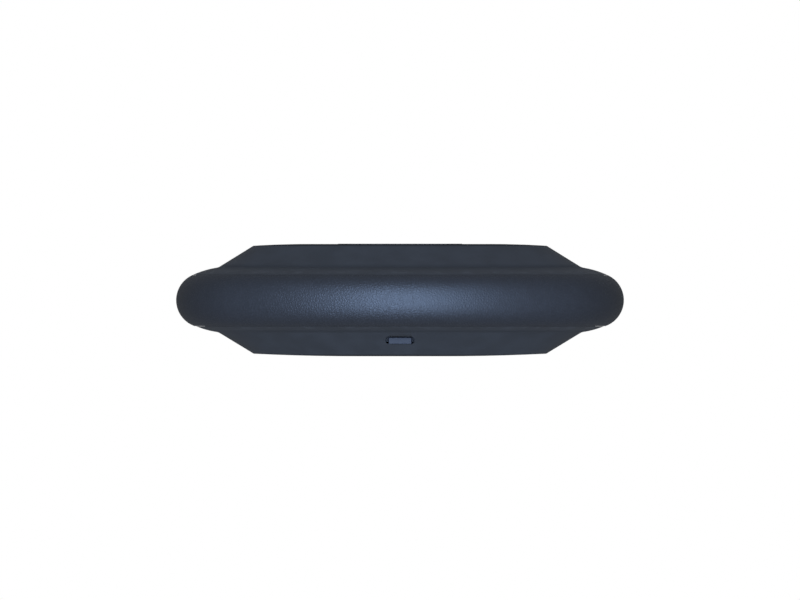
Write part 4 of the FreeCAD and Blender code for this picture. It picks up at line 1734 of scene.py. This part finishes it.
@dataclass
class Cradle:
    """The moulding that holds the earbuds, its button, magnets and charging contacts."""

    eased: tuple[tuple[str, float], ...] = (
        ("cradle_deck", 0.20 * MM),
        ("bud_magnets", 0.12 * MM),
        ("base_magnet", 0.12 * MM),
        ("contact_housings", 0.06 * MM),
        ("left_contact_pins", 0.04 * MM),
        ("right_contact_pins", 0.04 * MM),
    )
    flange_top: float = 15.35 * MM
    flange_width: float = 0.4 * MM
    flange_soft: float = 0.06 * MM
    key_softs: Range = (0.28 * MM, 0.2 * MM)
    key_dish: float = 0.10 * MM
    contact_travel: float = 0.7 * MM

    def springs(self, shop: Paintshop) -> None:
        """Makes and dresses the springs under the contacts, wound at their rest length; the real springs
        shorten as the contacts go down.

        Args:
            shop: where the finishes come from.
        """
        spring = Spring()
        reach = spring.radius + spring.wire
        for side in ("left", "right"):
            low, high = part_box(f"{side}_contact_springs")
            places = ((low.x + reach, low.y + reach), (high.x - reach, high.y - reach))
            for number, (x, y) in enumerate(places, 1):
                wound = spring.make(f"{side}_contact_coil_{number}", x, y, (low.z, high.z))
                shop.dress(wound, f"{side}_contact_springs")
                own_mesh(wound)

    def build(self, shop: Paintshop) -> None:
        """Makes and dresses the cradle's pieces.

        Args:
            shop: where the finishes come from.
        """
        for node, width in self.eased:
            shop.dress(eased_copy(node, width), node)
        self.springs(shop)
        low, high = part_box("pairing_button")
        flange_radius = (high.x - low.x) / 2
        radius = flange_radius - self.flange_width
        profile = [
            Corner(0.0, low.z),
            Corner(flange_radius, low.z, self.flange_soft),
            Corner(flange_radius, self.flange_top, self.flange_soft),
            Corner(radius, self.flange_top),
            Corner(radius, high.z, self.key_softs[0]),
            Corner(0.72 * radius, high.z, self.key_softs[1]),
            Corner(0.35 * radius, high.z - 0.85 * self.key_dish, self.key_softs[1]),
            Corner(0.0, high.z - self.key_dish),
        ]
        centre = Vector(((low.x + high.x) / 2, (low.y + high.y) / 2, 0))
        button = turned("pairing_key", centre, softened(profile, closed=False, steps=5), 56)
        smooth(button)
        shop.dress(button, "pairing_button")


@dataclass
class Electronics:
    """The boards and what stands on them, the cell and the port."""

    eased: tuple[tuple[str, float], ...] = (
        ("controller_chip", 0.06 * MM),
        ("charger_chip", 0.06 * MM),
        ("power_inductor", 0.18 * MM),
        ("hall_sensor", 0.05 * MM),
        ("tact_switch", 0.08 * MM),
        ("battery_socket", 0.10 * MM),
        ("led_chip", 0.06 * MM),
        ("passive_parts", 0.05 * MM),
        ("usb_tongue", 0.07 * MM),
        ("usb_shell", 0.07 * MM),
        ("main_board", 0.05 * MM),
        ("front_board", 0.05 * MM),
        ("usb_board", 0.05 * MM),
    )
    screw_radius: float = 1.1 * MM
    pad_cell: float = 0.7 * MM
    pad_corner: float = 0.3 * MM
    pad_fill: float = 0.8
    pucker: float = 0.05 * MM
    edge_sink: float = 0.10 * MM
    edge_share: float = 0.03

    def build(self, shop: Paintshop, hinge: Hinge) -> None:
        """Makes and dresses the pieces inside the base.

        Args:
            shop: where the finishes come from.
            hinge: not used.
        """
        for node, width in self.eased:
            shop.dress(eased_copy(node, width), node)
        low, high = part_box("board_screws")
        radius = self.screw_radius
        x_places, y_places = (low.x + radius, high.x - radius), (low.y + radius, high.y - radius)
        places = [(x, y) for x in x_places for y in y_places]
        for number, (x, y) in enumerate(places, 1):
            screw = Screw(False, low.z, high.z, radius)
            shop.dress(screw.make(f"board_screw_{number}", x, y), "board_screws")
        self.foam(shop)

    def foam(self, shop: Paintshop) -> None:
        """Makes and dresses the foam pad over the cell: soft corners and a slightly puckered face.

        Args:
            shop: where the finishes come from.
        """
        low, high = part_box("battery_pad")
        pad = block((low.x, high.x), (low.y, high.y), (low.z, high.z))
        pad.name = pad.data.name = "cell_foam"
        work = bmesh.new()
        work.from_mesh(pad.data)
        bmesh.ops.bevel(work, geom=list(work.edges), offset=self.pad_corner, segments=3, profile=0.5,
                        affect="EDGES")
        cuts = int((high.y - low.y) / self.pad_cell / 2)
        long_edges = [edge for edge in work.edges if edge.calc_length() > 5 * MM]
        bmesh.ops.subdivide_edges(work, edges=long_edges, cuts=cuts, use_grid_fill=True)
        middle = (low.z + high.z) / 2
        for vertex in work.verts:
            across = (vertex.co.x - low.x) / (high.x - low.x)
            along = (vertex.co.y - low.y) / (high.y - low.y)
            wave = math.sin(17.0 * across + 3.0 * math.sin(9.0 * along))
            ripple = max(0.0, wave * math.sin(23.0 * along + 5.0 * across))
            edge = min(across, 1 - across, along, 1 - along)
            sink = self.pucker * ripple + self.edge_sink * math.exp(-edge / self.edge_share)
            vertex.co.z += -sink if vertex.co.z > middle else sink
        work.to_mesh(pad.data)
        work.free()
        smooth(pad)
        shop.dress(pad, "battery_pad")


# ---------------------------------------------------------------- the studio
@dataclass(frozen=True)
class Softbox:
    """A large soft light that faces the case."""

    name: str
    place: Colour
    size: Range
    watts: float
    colour: Colour = (1.0, 1.0, 1.0)
    shows_in_gloss: bool = True

    def hang(self, target: Vector) -> None:
        """Adds the light.

        Args:
            target: the point that it is turned towards.
        """
        data = bpy.data.lights.new(self.name, "AREA")
        data.shape = "RECTANGLE"
        data.size, data.size_y = self.size
        data.energy = self.watts
        data.color = self.colour
        lamp = bpy.data.objects.new(self.name, data)
        lamp.location = self.place
        lamp.rotation_euler = (target - lamp.location).to_track_quat("-Z", "Y").to_euler()
        lamp.visible_camera = False
        lamp.visible_glossy = self.shows_in_gloss
        bpy.context.scene.collection.objects.link(lamp)


@dataclass
class Studio:
    """Camera, lights, floor and surroundings."""

    view_width: float = 0.17079
    view_height: float = 12.0 * MM
    distance: float = 0.9
    room: float = 0.175
    floor_half: float = 0.6
    floor_drop: float = 0.02 * MM
    floor_tones: Range = (0.80, 0.84)
    speckle: float = 0.4 * MM
    nearest: float = 0.01
    lights: tuple[Softbox, ...] = (
        Softbox("front_box", (0.0, -0.50, 0.024), (0.22, 1.14), 6.35, (0.775, 0.840, 1.0)),
        Softbox("low_box", (0.0, -0.45, -0.50), (0.90, 0.50), 1.50, (0.60, 0.75, 1.0), False),
        Softbox("left_box", (-0.60, -0.35, 0.60), (0.60, 0.60), 0.60, (0.50, 0.72, 1.0), False),
        Softbox("top_box", (0.0, 0.20, 0.75), (0.90, 0.60), 0.30, (1.0, 1.0, 1.0), False),
        Softbox("back_box", (0.10, 0.80, 0.30), (0.90, 0.60), 3.5, (0.80, 0.90, 1.0), False),
    )

    def build(self) -> None:
        """Sets the studio up."""
        scene = bpy.context.scene
        data = bpy.data.cameras.new("camera")
        data.type = "ORTHO"
        data.ortho_scale = self.view_width
        data.clip_start = self.nearest
        camera = bpy.data.objects.new("camera", data)
        camera.location = (0, -self.distance, self.view_height)
        camera.rotation_euler = (math.radians(90), 0, 0)
        scene.collection.objects.link(camera)
        scene.camera = camera
        target = Vector((0, 0, self.view_height))
        for light in self.lights:
            light.hang(target)
        self.surroundings(scene)
        self.floor()
        scene.view_settings.view_transform = "Standard"

    def surroundings(self, scene: bpy.types.Scene) -> None:
        """Makes a room that is white to look at and dim to the surfaces in it.

        Args:
            scene: the scene that it surrounds.
        """
        world = bpy.data.worlds.new("room")
        world.use_nodes = True
        tree = world.node_tree
        tree.nodes.clear()
        seen = tree.nodes.new("ShaderNodeLightPath")
        white = tree.nodes.new("ShaderNodeBackground")
        dim = tree.nodes.new("ShaderNodeBackground")
        dim.inputs["Color"].default_value = (self.room, self.room, self.room, 1)
        mix = tree.nodes.new("ShaderNodeMixShader")
        end = tree.nodes.new("ShaderNodeOutputWorld")
        white.inputs["Color"].default_value = (1, 1, 1, 1)
        tree.links.new(seen.outputs["Is Camera Ray"], mix.inputs[0])
        tree.links.new(dim.outputs[0], mix.inputs[1])
        tree.links.new(white.outputs[0], mix.inputs[2])
        tree.links.new(mix.outputs[0], end.inputs[0])
        scene.world = world

    def floor(self) -> None:
        """A plain pale floor that lets light through from below."""
        half = self.floor_half
        places = ((-half, -half), (half, -half), (half, half), (-half, half))
        corners = [Vector((x, y, -self.floor_drop)) for x, y in places]
        floor = new_piece("floor", corners, [(0, 1, 2, 3)])
        recipe = Recipe("pale_floor")
        speckle = recipe.clouds(self.speckle, 2.0)
        dark, light = ((level,) * 3 for level in self.floor_tones)
        tone = recipe.blend(speckle, dark, light)
        floor.data.materials.append(recipe.surface(tone, 0.7 + 0.1 * speckle))
        floor.visible_diffuse = False
        floor.visible_glossy = False
        floor.visible_shadow = False


def main() -> None:
    """Builds the case round its frame, and the studio round the case."""
    logging.basicConfig(level=logging.INFO, format="%(name)s: %(message)s")
    shop = Paintshop()
    skin, oval, hinge = Skin(), Oval(), Hinge()
    cover = Cover(skin, oval)
    LidAssembly(cover).build(shop, hinge)
    Belt(skin, oval).build(shop, hinge)
    Underside(cover).build(shop)
    hinge.build(shop)
    Cradle().build(shop)
    Electronics().build(shop, hinge)
    shop.carry()
    Studio().build()


if __name__ == "__main__":
    main()
